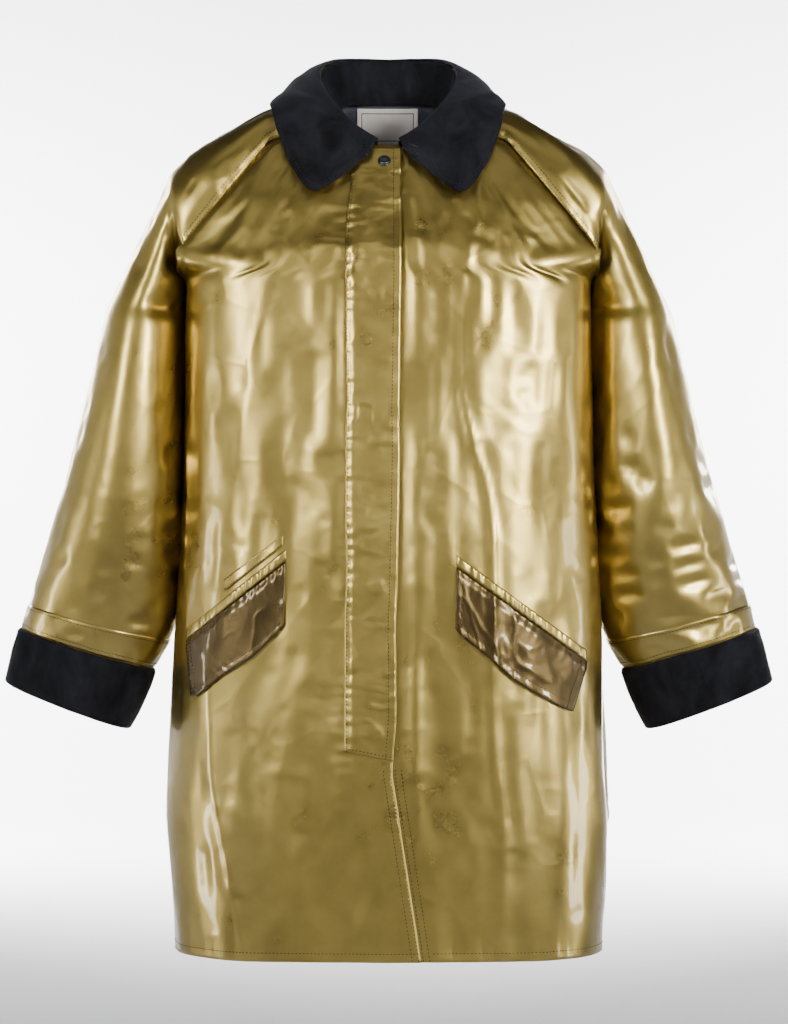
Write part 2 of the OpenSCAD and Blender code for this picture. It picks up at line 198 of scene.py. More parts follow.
class Bench:   # one material's node tree
    def __init__(self, name, shader):
        self.material = bpy.data.materials.new(name)
        self.material.use_nodes = True
        self.tree = self.material.node_tree
        self.shader = self.tree.nodes["Principled BSDF"]
        for key, value in shader.items():
            self.shader.inputs[key].default_value = value

    def node(self, kind, settings=None, values=None, out=0):
        n = self.tree.nodes.new(kind)
        for key, value in (settings or {}).items():
            setattr(n, key, value)
        for key, value in (values or {}).items():
            if isinstance(value, Wire):
                self.tree.links.new(value.socket, n.inputs[key])
            else:
                n.inputs[key].default_value = value
        return Wire(self, n.outputs[out])

    def coords(self):
        return self.node("ShaderNodeTexCoord", out="Object")

    def scaled(self, vector, scale):
        return self.node("ShaderNodeMapping", values={"Vector": vector, "Scale": scale})

    def noise(self, vector, scale, detail=3.0, rough=0.5, distortion=0.0):
        return self.node("ShaderNodeTexNoise", values={
            "Vector": vector, "Scale": scale, "Detail": detail, "Roughness": rough, "Distortion": distortion})

    def level(self, value, low, high, outLow=0.0, outHigh=1.0):
        return self.node("ShaderNodeMapRange", values={0: value, 1: low, 2: high, 3: outLow, 4: outHigh})

    def mixColour(self, fac, a, b):
        return self.node("ShaderNodeMix", {"data_type": "RGBA"}, {0: fac, 6: a, 7: b}, out=2)

    def bump(self, height, strength, distance, normal=None):
        values = {"Height": height, "Strength": strength, "Distance": distance}
        if normal is not None:
            values["Normal"] = normal
        return self.node("ShaderNodeBump", values=values)

    def feed(self, **wires):
        names = {"colour": "Base Color", "rough": "Roughness", "normal": "Normal", "coat": "Coat Weight"}
        for key, wire in wires.items():
            self.tree.links.new(wire.socket, self.shader.inputs[names[key]])


vinylLook = {
    "light": (0.43, 0.32, 0.085, 1),
    "dark": (0.33, 0.24, 0.06, 1),
    # inside faces, placket, facings and under collar get a darker copy of the vinyl: painted shade
    "insideShade": (0.33, 0.225, 0.07, 1),
    "insideShadeDeep": (0.24, 0.16, 0.05, 1),
    # the pocket flaps get a darker copy of the vinyl still: painted shade on the flaps
    "flapShade": (0.1, 0.068, 0.024, 1),
    "flapShadeDeep": (0.065, 0.043, 0.015, 1),
    "wetCoat": 0.75, "dryCoat": 0.14,   # clear coat low at the sides, and everywhere else
    "creaseScale": 13.0, "creaseWarp": 0.025, "warpScale": 4.0,
}


def vinyl(name, light, dark, roughLow=0.27, roughHigh=0.37):
    b = Bench(name, {"Metallic": 0.96, "Coat Roughness": 0.06, "Coat IOR": 1.5})
    pos = b.coords()
    place = b.node("ShaderNodeSeparateXYZ", values={"Vector": pos})
    sideways = b.level(abs(place), 0.1, 0.19)
    low = b.level(Wire(b, place.socket.node.outputs["Z"]), -0.3, -0.6)
    b.feed(coat=sideways * low * vinylLook["wetCoat"] + vinylLook["dryCoat"])
    cloud = b.noise(pos, 5.0, 3, 0.55)
    mottle = b.noise(pos, 38.0, 4, 0.6)
    grain = b.noise(pos, 800.0, 2, 0.5)
    drift = b.node("ShaderNodeTexNoise", values={"Vector": pos, "Scale": vinylLook["warpScale"]}, out=1)
    shift = b.node("ShaderNodeVectorMath", {"operation": "SCALE"}, {0: drift, 3: vinylLook["creaseWarp"]})
    warped = b.node("ShaderNodeVectorMath", {"operation": "ADD"}, {0: pos, 1: shift})
    crumple = b.node("ShaderNodeTexVoronoi", {"feature": "DISTANCE_TO_EDGE"},
                     {"Vector": warped, "Scale": vinylLook["creaseScale"]})
    crease = b.level(crumple, 0.0, 0.06, 1.0, 0.0)
    tone = cloud * 0.6 + mottle * 0.4
    b.feed(colour=b.mixColour(b.level(tone, 0.36, 0.64), dark, light))
    b.feed(rough=b.level(mottle * 0.5 + cloud * 0.5, 0.35, 0.65, roughLow, roughHigh) + (grain - 0.5) * 0.05)
    soft = b.bump(b.noise(pos, 24.0, 2, 0.5, 0.4), 0.04, 0.001)
    sharp = b.bump(crease, 0.09, 0.001, soft)
    b.feed(normal=sharp)
    return b.material


def velvet(name):
    b = Bench(name, {"Sheen Weight": 0.55, "Sheen Roughness": 0.3, "Sheen Tint": (0.16, 0.165, 0.2, 1),
                     "Specular IOR Level": 0.12})
    pos = b.coords()
    pile = b.noise(pos, 2600.0, 2, 0.6)
    brushed = b.noise(b.scaled(pos, (1, 1, 0.5)), 34.0, 4, 0.65, 0.6)
    b.feed(colour=b.mixColour(b.level(brushed, 0.35, 0.68), (0.0035, 0.0035, 0.0048, 1),
                              (0.013, 0.013, 0.017, 1)))
    b.feed(rough=b.level(pile, 0.3, 0.7, 0.78, 0.98))
    b.feed(normal=b.bump(pile, 0.55, 0.0006, b.bump(brushed, 0.35, 0.0022)))
    return b.material


def wovenCloth(name, colourA, colourB, thread, shine):
    b = Bench(name, {"Sheen Weight": 0.25, "Sheen Roughness": 0.4, "Specular IOR Level": 0.35})
    pos = b.coords()
    warp = b.node("ShaderNodeTexWave", {"wave_type": "BANDS", "bands_direction": "X"},
                  {"Vector": pos, "Scale": thread, "Distortion": 0.6, "Detail": 1.0})
    weft = b.node("ShaderNodeTexWave", {"wave_type": "BANDS", "bands_direction": "Z"},
                  {"Vector": pos, "Scale": thread, "Distortion": 0.6, "Detail": 1.0})
    weave = warp * 0.5 + weft * 0.5
    b.feed(colour=b.mixColour(b.level(weave * 0.6 + b.noise(pos, 22.0) * 0.4, 0.3, 0.7), colourA, colourB))
    b.feed(rough=b.level(weave, 0.0, 1.0, shine + 0.1, shine))
    b.feed(normal=b.bump(weave, 0.5, 0.0003, b.bump(b.noise(pos, 18.0, 3), 0.5, 0.003)))
    return b.material


def threadCloth(name, colour):
    b = Bench(name, {"Roughness": 0.7, "Specular IOR Level": 0.2})
    twist = b.node("ShaderNodeTexWave", {"wave_type": "BANDS", "bands_direction": "DIAGONAL"},
                   {"Vector": b.coords(), "Scale": 900.0})
    b.feed(colour=b.mixColour(twist, tuple(c * 0.6 for c in colour[:3]) + (1,), colour))
    b.feed(normal=b.bump(twist, 0.4, 0.0002))
    return b.material


def lacquer(name, colour):
    b = Bench(name, {"Coat Weight": 0.8, "Coat Roughness": 0.04})
    haze = b.noise(b.coords(), 700.0, 3, 0.6)
    b.feed(colour=b.mixColour(haze, colour, tuple(c * 1.6 + 0.002 for c in colour[:3]) + (1,)))
    b.feed(rough=b.level(haze, 0.3, 0.7, 0.08, 0.16))
    b.feed(normal=b.bump(haze, 0.05, 0.0001))
    return b.material


def platedMetal(name):
    b = Bench(name, {"Metallic": 1.0})
    swirl = b.noise(b.coords(), 900.0, 4, 0.6, 0.8)
    b.feed(colour=b.mixColour(swirl, (0.5, 0.49, 0.46, 1), (0.68, 0.67, 0.64, 1)))
    b.feed(rough=b.level(swirl, 0.3, 0.7, 0.22, 0.4))
    b.feed(normal=b.bump(swirl, 0.1, 0.0001))
    return b.material


goldVinyl = vinyl("goldVinyl", vinylLook["light"], vinylLook["dark"])
# darker copy of the gold vinyl for the pocket flaps: painted shade
goldFlapPaintedShade = vinyl("goldFlapPaintedShade", vinylLook["flapShade"], vinylLook["flapShadeDeep"], 0.3, 0.4)
# darker copy of the gold vinyl for the inside faces and under layers: painted shade
goldShade = vinyl("goldShade", vinylLook["insideShade"], vinylLook["insideShadeDeep"], 0.36, 0.5)
blackVelvet = velvet("blackVelvet")
navyLining = wovenCloth("navyLining", (0.012, 0.016, 0.026, 1), (0.028, 0.034, 0.05, 1), 160.0, 0.5)
# real stitches on the gold cloth, coloured dark brown: painted shadow of the stitch holes
goldThreadPaintedShadow = threadCloth("goldThreadPaintedShadow", (0.06, 0.04, 0.016, 1))
blackLacquer = lacquer("blackLacquer", (0.004, 0.004, 0.005, 1))
snapMetal = platedMetal("snapMetal")
print("materials ready")


# shapes in cloth, worked out in millimetres
def lookUp(v, table):
    xs, ys = zip(*table)
    return np.interp(v, xs, ys)


def mix(a, b, t):
    return a + (b - a) * t


def ease(t, low=0.0, high=1.0):
    t = np.clip((t - low) / (high - low), 0, 1)
    return t * t * (3 - 2 * t)


coat = {
    "halfWidth": [(-880, 222), (-740, 233), (-600, 227), (-400, 216), (-180, 212), (-150, 268), (-107, 255),
                  (-65, 227), (-44, 205), (-22, 168), (0, 131), (26, 96)],
    "frontDepth": [(-880, 134), (-150, 118), (-100, 105), (-65, 91), (-37, 75), (0, 58)],
    "backDepth": [(-880, 128), (-400, 117), (-165, 116), (-100, 108), (-30, 86), (24, 64)],
    "squareness": [(-400, 3.1), (-180, 4), (-150, 2.4)],
    "frontEdge": [(-880, 34), (-690, 5), (-400, 10), (-37, 13)],
    "raglanFront": [(-180, 212), (-150, 215), (-37, 122), (-16, 76)],
    "raglanBack": [(-180, 212), (-150, 215), (12, 60)],
    "clothStep": 3.2,        # spacing of the finished cloth grid
    "settleStep": 9.0,       # spacing of the grid that is settled
    "thickness": 1.3,
}


def halfWidth(z):
    return lookUp(z, coat["halfWidth"])


def squareness(z):
    return lookUp(z, coat["squareness"])


def frontEdge(z):
    return lookUp(z, coat["frontEdge"])


def frontAt(x, z):
    p = squareness(z)
    return -lookUp(z, coat["frontDepth"]) * (1 - np.minimum(1, np.abs(x) / halfWidth(z)) ** p) ** (1 / p)


def backAt(x, z):
    p = squareness(z)
    return lookUp(z, coat["backDepth"]) * (1 - np.minimum(1, np.abs(x) / halfWidth(z)) ** p) ** (1 / p)


def evenRow(points, count):   # same curve with points at even distances
    gaps = np.linalg.norm(np.diff(points, axis=0), axis=1)
    run = np.concatenate([[0], np.cumsum(gaps)])
    want = np.linspace(0, run[-1], count)
    return np.stack([np.interp(want, run, points[:, k]) for k in range(3)], axis=1)


def normalsOf(g, facing=1):   # facing is -1 where the columns run the other way round
    up = np.gradient(g, axis=0) * facing
    side = np.gradient(g, axis=1)
    c = np.cross(side, up)
    return c / np.maximum(np.linalg.norm(c, axis=2, keepdims=True), 1e-9)


def cubicWeights(fromCount, toCount):   # matrix that resamples a row smoothly
    at = np.linspace(0, fromCount - 1, toCount)
    base = np.minimum(np.floor(at).astype(int), fromCount - 2)
    t = at - base
    w = np.zeros((toCount, fromCount))
    parts = [(-1, -t / 2 + t * t - t ** 3 / 2), (0, 1 - 2.5 * t * t + 1.5 * t ** 3),
             (1, t / 2 + 2 * t * t - 1.5 * t ** 3), (2, -t * t / 2 + t ** 3 / 2)]
    for shift, value in parts:
        np.add.at(w, (np.arange(toCount), np.clip(base + shift, 0, fromCount - 1)), value)
    return w


def resample(g, rows, cols):
    a = cubicWeights(g.shape[0], rows)
    b = cubicWeights(g.shape[1], cols)
    return np.einsum("ri,ijk,cj->rck", a, g, b)


def softNoise(x, y, seed, octaves=1):
    total = np.zeros(np.broadcast(x, y).shape)
    for k in range(octaves):
        lattice = np.random.default_rng(seed + 71 * k).uniform(-1, 1, (61, 61))
        px = x * 2 ** k + 13.7 * k
        py = y * 2 ** k + 5.3 * k
        ix = np.floor(px).astype(int)
        iy = np.floor(py).astype(int)
        fx = px - ix
        fy = py - iy
        fx = fx * fx * fx * (fx * (fx * 6 - 15) + 10)
        fy = fy * fy * fy * (fy * (fy * 6 - 15) + 10)
        a = mix(lattice[ix % 61, iy % 61], lattice[(ix + 1) % 61, iy % 61], fx)
        b = mix(lattice[ix % 61, (iy + 1) % 61], lattice[(ix + 1) % 61, (iy + 1) % 61], fx)
        total += mix(a, b, fy) / 2 ** k
    return total


def smoothed(g, times):   # evens out corners, keeping the outer edges
    g = g.copy()
    for k in range(times):
        mid = g[:-2, 1:-1] + g[2:, 1:-1] + g[1:-1, :-2] + g[1:-1, 2:]
        g[1:-1, 1:-1] = mix(g[1:-1, 1:-1], mid / 4, 0.6)
    return g


# the cloth is cut a little larger than the shape it is held to, and settles into folds by relaxing
# the lengths of its threads while its seams stay where they are
def pull(p, free, a, b, length, stiff, onlyPush=False):
    pa = p[a]
    pb = p[b]
    gap = pb - pa
    size = np.maximum(np.linalg.norm(gap, axis=-1), 1e-6)
    wrong = size - length
    if onlyPush:
        wrong = np.minimum(wrong, 0)
    wa = free[a]
    wb = free[b]
    share = stiff * wrong / size / np.maximum(wa + wb, 1e-6)
    p[a] = pa + gap * (share * wa)[..., None]
    p[b] = pb - gap * (share * wb)[..., None]


def pairs(rows, cols, di, dj):   # groups of pairs that don't share a point
    groups = []
    i, j = np.meshgrid(np.arange(rows), np.arange(cols), indexing="ij")
    for part in range(2):
        if di:
            pick = (i // di) % 2 == part
        else:
            pick = (j // dj) % 2 == part
        ok = pick & (i + di < rows) & (j + dj < cols) & (j + dj >= 0)
        groups.append(((i[ok], j[ok]), (i[ok] + di, j[ok] + dj)))
    return groups


def settle(base, growAcross, growDown, pinned, seed, low=-4.0, high=9.0, rounds=90, stiffness=0.35,
           start=0.9, facing=1):
    rows, cols = base.shape[:2]
    n = normalsOf(base, facing)
    free = 1.0 - pinned
    i, j = np.meshgrid(np.arange(rows), np.arange(cols), indexing="ij")
    p = base + n * (start * softNoise(i / 9.0, j / 3.4, seed, 2) * free)[..., None]
    jobs = []
    growBoth = (growAcross + growDown) / 2
    for di, dj, grow, stiff in ((0, 1, growAcross, 0.9), (1, 0, growDown, 0.9), (1, 1, growBoth, 0.35),
                                (1, -1, growBoth, 0.35), (0, 2, growAcross * 0.2 - 0.012, stiffness),
                                (2, 0, growDown * 0.2 - 0.012, stiffness),
                                (0, 4, growAcross * 0.1 - 0.05, stiffness),
                                (4, 0, growDown * 0.1 - 0.05, stiffness)):
        for a, b in pairs(rows, cols, di, dj):
            length = np.linalg.norm(base[b] - base[a], axis=-1) * (1 + (grow[a] + grow[b]) / 2)
            jobs.append((a, b, length, stiff, max(di, abs(dj)) > 1))
    before = p.copy()
    for k in range(rounds):
        step = (p - before) * 0.82
        before = p.copy()
        p = p + step * free[..., None]
        for again in range(3):
            for a, b, length, stiff, onlyPush in jobs:
                pull(p, free, a, b, length, stiff, onlyPush)
        out = ((p - base) * n).sum(axis=2)
        p += n * (np.clip(out, low, high) - out)[..., None]
    return p - base


def fabricPlan(g):   # distances across and down the cloth
    across = np.concatenate([np.zeros((g.shape[0], 1)),
                             np.cumsum(np.linalg.norm(np.diff(g, axis=1), axis=2), axis=1)], axis=1)
    down = np.concatenate([np.zeros((1, g.shape[1])),
                           np.cumsum(np.linalg.norm(np.diff(g, axis=0), axis=2), axis=0)], axis=0)
    return across, down


def pucker(distance, along, reach, height, wave, seed):   # short gathers that die out away from a seam
    wobble = softNoise(along / (wave * 2.6), distance / 40, seed + 5) * 1.7
    ripple = np.sin(along / wave * 2 * math.pi + wobble * 2.2)
    size = 0.55 + 0.45 * softNoise(along / (wave * 1.7), distance * 0, seed)
    return height * ripple * size * np.exp(-np.abs(distance) / reach)


def creases(across, down, seed, size, height, lean=0.3, tall=1.7):   # crisp folds left by packing
    a = across / size + lean * down / size
    d = down / (size * tall)
    f = softNoise(a, d, seed) + 0.5 * softNoise(a * 2.1, d * 2.1, seed + 9)
    ridge = 1 - np.minimum(1, np.abs(f) * 3.2)
    return height * ridge * ridge * (0.5 + 0.5 * softNoise(a / 2, d / 2, seed + 3))


def addClothUv(mesh, flat):   # writes each point's place on the flat cloth
    layer = mesh.uv_layers.new(name="cloth")
    loopVerts = np.empty(len(mesh.loops), dtype=np.int32)
    mesh.loops.foreach_get("vertex_index", loopVerts)
    layer.data.foreach_set("uv", flat[loopVerts].astype(np.float32).ravel())


def clothObject(name, g, material, body, thickness=None, inner=None, facing=1):
    if facing < 0:
        g = g[:, ::-1]
    rows, cols = g.shape[:2]
    verts = (g.reshape(-1, 3) * mm).tolist()
    i, j = np.meshgrid(np.arange(rows - 1), np.arange(cols - 1), indexing="ij")
    corner = i * cols + j
    faces = np.stack([corner, corner + 1, corner + cols + 1, corner + cols], axis=-1).reshape(-1, 4)
    mesh = bpy.data.meshes.new(name)
    mesh.from_pydata(verts, [], faces.tolist())
    across, down = fabricPlan(g)
    addClothUv(mesh, np.stack([across * mm, down * mm], axis=-1).reshape(-1, 2))
    mesh.materials.append(material)
    if inner is not None:
        mesh.materials.append(inner)
    mesh.polygons.foreach_set("use_smooth", [True] * len(mesh.polygons))
    mesh.update()
    obj = bpy.data.objects.new(name, mesh)
    bpy.context.scene.collection.objects.link(obj)
    t = coat["thickness"] if thickness is None else thickness
    if t:
        solid = obj.modifiers.new("thickness", "SOLIDIFY")
        solid.thickness = t * mm
        solid.use_even_offset = False
        if inner is not None:
            solid.material_offset = 1
            solid.material_offset_rim = 0
    if body is not None:
        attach(obj, body)
    width = float(across[:, -1].mean()) * mm
    length = float(down[-1].mean()) * mm
    return obj, (round(width, 4), round(length, 4))


print("cloth tools ready")


# body panels
bodyFolds = {
    "extraWidth": 0.003,      # how much wider than the shape the cloth is cut
    "extraLength": 0.0,
    "creaseHeight": 0.5,
    "puckerHeight": 0.7,
    "drapeHeight": 4.0,       # broad folds that run down the cloth
    "seamUnder": 6.0,         # how far a panel runs under the raglan seam
    "overlap": 26.0,          # how far the wearer's left front runs under the right one
}


def bodyRow(zc, zs, front, startX):   # one row from the front edge, or the back's middle, to the side
    k = np.linspace(0, 1, 160)
    z = mix(zc, zs, k * k)
    p = squareness(z)
    w = halfWidth(z)
    depth = lookUp(z, coat["frontDepth" if front else "backDepth"])
    startTurn = np.arccos(np.sign(startX) * np.minimum(1, (abs(startX) / w) ** (p / 2)))
    if zs <= -180:
        stop = np.zeros_like(z)
    else:
        stopX = lookUp(zs, coat["raglanFront" if front else "raglanBack"]) + bodyFolds["seamUnder"]
        stop = np.arccos(np.minimum(1, (stopX / halfWidth(zs)) ** (squareness(zs) / 2)))
    t = mix(startTurn, stop, k)
    bowX = np.sign(np.cos(t)) * np.abs(np.cos(t)) ** (2 / p)
    bowY = np.abs(np.sin(t)) ** (2 / p)
    return np.stack([w * bowX, (-depth if front else depth) * bowY, z], axis=1)


def bodyHeights(count, top, topSide):
    low = np.linspace(-880, -150, int(count * 0.83))
    high = np.linspace(0, 1, count - len(low) + 1)[1:]
    heights = [(z, z) for z in low]
    heights += [(mix(-150, top, k), mix(-150, topSide, k)) for k in high]
    return heights


def frontShape(side, rows, cols):   # side 1 is the wearer's left
    grid = []
    for zc, zs in bodyHeights(rows, -42, -16):
        start = side * frontEdge(zc)
        if side > 0:
            start -= bodyFolds["overlap"]
        else:
            start += 0.5
        row = bodyRow(zc, zs, True, start)
        grid.append(evenRow(row, cols))
    g = smoothed(np.array(grid), 6)
    g[..., 0] *= side
    return g


def backShape(rows, cols):
    half = cols // 2 + 1
    grid = []
    for zc, zs in bodyHeights(rows, 24, 12):
        row = evenRow(bodyRow(zc, zs, False, 1e-6), half)
        grid.append(np.concatenate([row[::-1] * (-1, 1, 1), row[1:]]))
    return smoothed(np.array(grid), 6)


def gridSize(width, height, step):
    return int(round(height / step)) + 1, int(round(width / step)) + 1


def bodyDetail(g, seed):
    across, down = fabricPlan(g)
    wide = across[:, -1:]
    seam = wide - across
    nearFly = ease(across, 110, 40)
    out = creases(across, down, seed, 120, bodyFolds["creaseHeight"] * 1.6, 0.25, 2.4)
    out += creases(across, down, seed + 40, 36, bodyFolds["creaseHeight"] * 0.7, -0.4, 0.7) * nearFly
    out += creases(across, down, seed + 44, 60, bodyFolds["creaseHeight"] * 0.7, 0.6, 1.2)
    sway = across + 26 * softNoise(down / 210, across / 400, seed + 60)
    broad = softNoise(sway / 58, down / 560, seed + 61)
    fold = broad + 0.7 * (1 - np.minimum(1, np.abs(softNoise(sway / 70, down / 600, seed + 62)) * 2.6)) ** 2
    away = ease(across, 20, 70) * ease(seam, 4, 40) * (0.35 + 0.65 * ease(down, 800, 350))
    out += bodyFolds["drapeHeight"] * fold * away
    wet = softNoise(sway / 17, down / 190, seed + 63) + 0.4 * softNoise(sway / 8, down / 90, seed + 64)
    out += 2.4 * wet * np.exp(-seam / 75) * ease(seam, 2, 14) * ease(down, 430, 240) * ease(down, 0, 40)
    out += pucker(seam, down, 9, bodyFolds["puckerHeight"], 13, seed + 1)
    out += pucker(np.abs(down - 9), across, 8, 0.55, 11, seed + 2)
    return out, across, down


def makeFront(side, seed):
    rows, cols = gridSize(250, 860, coat["settleStep"])
    base = frontShape(side, rows, cols)
    i, j = np.meshgrid(np.linspace(0, 1, rows), np.linspace(0, 1, cols), indexing="ij")
    pinned = np.zeros((rows, cols))
    pinned[:, -1] = 1
    pinned[-1] = 1
    pinned[:, 0] = 0.85
    pinned[0] = 0.6
    pinned[:, 1] = 0.5
    if side < 0:
        pinned[:, :5] = np.maximum(pinned[:, :5], 0.55)
    else:
        pinned[:, :4] = np.maximum(pinned[:, :4], 0.8)
    across = np.full((rows, cols), bodyFolds["extraWidth"]) + 0.003 * softNoise(i * 3, j * 3, seed + 7)
    down = np.full((rows, cols), bodyFolds["extraLength"]) + 0.001 * softNoise(i * 4, j * 2, seed + 8)
    down += 0.005 * np.exp(-j / 0.18) * (i > 0.3)
    moved = settle(base, across, down, pinned, seed, facing=side)
    fineRows, fineCols = gridSize(250, 860, coat["clothStep"])
    fine = frontShape(side, fineRows, fineCols) + resample(moved, fineRows, fineCols)
    n = normalsOf(fine, facing=side)
    out, a, d = bodyDetail(fine, seed)
    if side < 0:
        out += pucker(np.abs(a - 48), d, 9, 0.7, 12, seed + 3) * (d > 190)
        out += pucker(np.abs(a - 5), d, 8, 0.5, 10, seed + 4) * (d < 215)
    fine = fine + n * out[..., None]
    high = ease(fine[..., 2], -200, -170)
    fine = fine - n * (1.5 * high * ease(a[:, -1:] - a, 12, 5))[..., None]
    if side > 0:
        tuck = 1 - ease(a, bodyFolds["overlap"] - 4, bodyFolds["overlap"] + 30)
        fine = fine - n * (3.2 * tuck)[..., None]
    return fine


frontGrid = {"right": makeFront(-1, 11), "left": makeFront(1, 12)}
print("fronts settled")


def makeBack(seed):
    rows, cols = gridSize(500, 890, coat["settleStep"])
    cols += 1 - cols % 2
    base = backShape(rows, cols)
    i, j = np.meshgrid(np.linspace(0, 1, rows), np.linspace(0, 1, cols), indexing="ij")
    pinned = np.zeros((rows, cols))
    pinned[:, 0] = 1
    pinned[:, -1] = 1
    pinned[-1] = 1
    pinned[0] = 0.6
    across = np.full((rows, cols), bodyFolds["extraWidth"]) + 0.003 * softNoise(i * 3, j * 6, seed + 7)
    down = np.full((rows, cols), bodyFolds["extraLength"]) + 0.001 * softNoise(i * 4, j * 5, seed + 8)
    moved = settle(base, across, down, pinned, seed, facing=-1)
    fineRows, fineCols = gridSize(500, 890, coat["clothStep"])
    fineCols += 1 - fineCols % 2
    fine = backShape(fineRows, fineCols) + resample(moved, fineRows, fineCols)
    out, a, d = bodyDetail(fine, seed)
    out += pucker(a, d, 9, bodyFolds["puckerHeight"], 13, seed + 4)
    high = ease(fine[..., 2], -200, -170)
    out -= 1.5 * high * (ease(a[:, -1:] - a, 12, 5) + ease(a, 12, 5))
    return fine + normalsOf(fine, facing=-1) * out[..., None]


backGrid = makeBack(13)
print("back settled")


# raglan sleeves
raglan = {
    "ridge": [(84, 23), (96, 18), (131, 0), (168, -22), (205, -44), (227, -65)],
    "frontSeam": [(78, -16), (124, -36), (216, -150)],
    "backSeam": [(62, 11), (216, -150)],
    # centre across, centre height, lean in degrees, half width, half depth
    "sections": [(194, -116, 55, 44, 54), (223, -138, 30, 41, 61), (252, -172, 5, 36, 67),
                 (268, -277, 2, 46, 77), (285, -405, 6, 61, 74), (302, -500, 12, 71, 64),
                 (323, -576, 18, 72, 52), (341, -627, 21, 67, 47)],
    "joinAt": 0.35,
    "againstBody": 12.0,
    "bandFrom": 0.815, "bandTo": 0.861,
    "cuffFrom": 0.862,
    "extraAround": 0.012, "extraLength": 0.008,
    "swingFrom": (0.216, 0, -0.165), "swingTo": (0.29, 0, -0.2),   # where the arm's swing starts and is full
}


def catmull(points, u):
    pts = np.array(points, float)
    n = len(pts) - 1
    u = np.atleast_1d(u) * n
    k = np.clip(np.floor(u).astype(int), 0, n - 1)
    t = (u - k)[:, None]
    a = pts[np.maximum(k - 1, 0)]
    b = pts[k]
    d = pts[k + 1]
    e = pts[np.minimum(k + 2, n)]
    return b + 0.5 * t * ((d - a) + t * (2 * a - 5 * b + 4 * d - e + t * (3 * (b - d) + e - a)))


def bow(c, p):
    return np.sign(c) * np.abs(c) ** (2 / p)


def archRow(w, s):   # from the front seam over the shoulder to the back seam
    fx = mix(78, 216, w)
    fz = lookUp(fx, raglan["frontSeam"])
    bx = mix(62, 216, w)
    bz = lookUp(bx, raglan["backSeam"])
    tx = mix(84, 226, w)
    p = mix(2.2, 3, w)
    f = np.array([fx, frontAt(fx, fz), fz])
    b = np.array([bx, backAt(bx, bz), bz])
    t = np.array([tx, (f[1] + b[1]) / 2, lookUp(tx, raglan["ridge"])])
    base = mix(f, b, ((1 - bow(np.cos(math.pi * s), p)) / 2)[:, None])
    return base + (t - (f + b) / 2) * bow(np.sin(math.pi * s), p)[:, None]


def ringRow(u, s):   # once round the sleeve, starting and ending on the side next to the body
    cx, cz, lean, halfW, halfD = catmull(raglan["sections"], u)[0]
    a = math.pi + 2 * math.pi * s
    lean = math.radians(lean)
    return np.stack([cx + halfW * np.cos(a) * math.cos(lean), halfD * np.sin(a),
                     cz + halfW * np.cos(a) * math.sin(lean)], axis=1)


def raglanShape(rows, cols):
    s = np.linspace(0, 1, 121)
    grid = [archRow(w, s) for w in np.linspace(0, 1, int(rows * 0.24))]
    last = grid[-1]
    ring = ringRow(raglan["joinAt"], s)
    more = int(rows * 0.22)
    for q in np.arange(1, more + 1) / more:
        mid = mix(last, ring, q)
        close = ease(q, 0.0, 0.55)
        ends = np.abs(2 * s - 1) ** 5
        mid[:, 1] *= 1 - close * ends
        grid.append(mid)
    rest = rows - len(grid)
    for u in mix(raglan["joinAt"], 1, np.arange(1, rest + 1) / rest):
        grid.append(ringRow(u, s))
    for row in grid:   # the arm hangs against the body
        near = ease(-row[:, 2], 140, 190) * ease(-row[:, 2], 600, 540)
        row[:, 0] -= raglan["againstBody"] * near * np.clip(np.cos(2 * math.pi * s), 0, 1) ** 1.5
    return smoothed(np.array([evenRow(r, cols) for r in grid]), 8)


def makeRaglan(seed):
    rows, cols = gridSize(300, 700, 9.5)
    base = raglanShape(rows, cols)
    i, j = np.meshgrid(np.linspace(0, 1, rows), np.linspace(0, 1, cols), indexing="ij")
    pinned = np.zeros((rows, cols))
    pinned[0] = 1
    pinned[-6:] = 0.9
    pinned[:, 0] = 1
    pinned[:, -1] = 1
    across = raglan["extraAround"] * (0.4 + 1.3 * np.exp(-((i - 0.28) / 0.14) ** 2))
    across += 0.006 * softNoise(i * 3, j * 4, seed)
    down = raglan["extraLength"] * (0.2 + 0.9 * ease(i, 0.35, 0.62))
    down += 0.006 * softNoise(i * 6, j * 4, seed + 8)
    moved = settle(base, across, down, pinned, seed, -6.0, 5.0, facing=-1, start=1.4)
    fineRows, fineCols = gridSize(300, 700, coat["clothStep"])
    fine = raglanShape(fineRows, fineCols) + resample(moved, fineRows, fineCols)
    a, d = fabricPlan(fine)
    wide = a[:, -1:]
    out = creases(a, d, seed, 70, 1.0, 0.5, 1.6) + creases(a, d, seed + 40, 34, 0.35, -0.5)
    out += 2.6 * softNoise(a / 30, d / 420, seed + 61) * np.exp(-((d - 230) / 190) ** 2)
    out += pucker(np.minimum(a, wide - a), d, 9, 0.7, 12, seed + 1) * (d < 330)
    fine = fine + normalsOf(fine, facing=-1) * out[..., None]
    joined = int(fineRows * 0.4)   # the underarm seam closes the sleeve from here down
    middle = (fine[joined:, 0] + fine[joined:, -1]) / 2
    fine[joined:, 0] = middle
    fine[joined:, -1] = middle
    return fine


sleeveGrid = {"left": makeRaglan(21), "right": makeRaglan(22) * (-1, 1, 1)}
print("sleeves settled")


def ringOn(g, v, lift=0.0, facing=-1):   # a row of the sleeve at a share of its length, lifted off the cloth
    row = v * (g.shape[0] - 1)
    k = int(min(math.floor(row), g.shape[0] - 2))
    n = normalsOf(g, facing=facing)
    return mix(g[k] + n[k] * lift, g[k + 1] + n[k + 1] * lift, row - k)


def shown(name, g, material, body, nodes, facing=1, inner=None, thickness=None, restsOn=None):
    obj, flat = clothObject(name, g, material, body, thickness, inner, facing)
    if nodes:
        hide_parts(*nodes)
    return obj


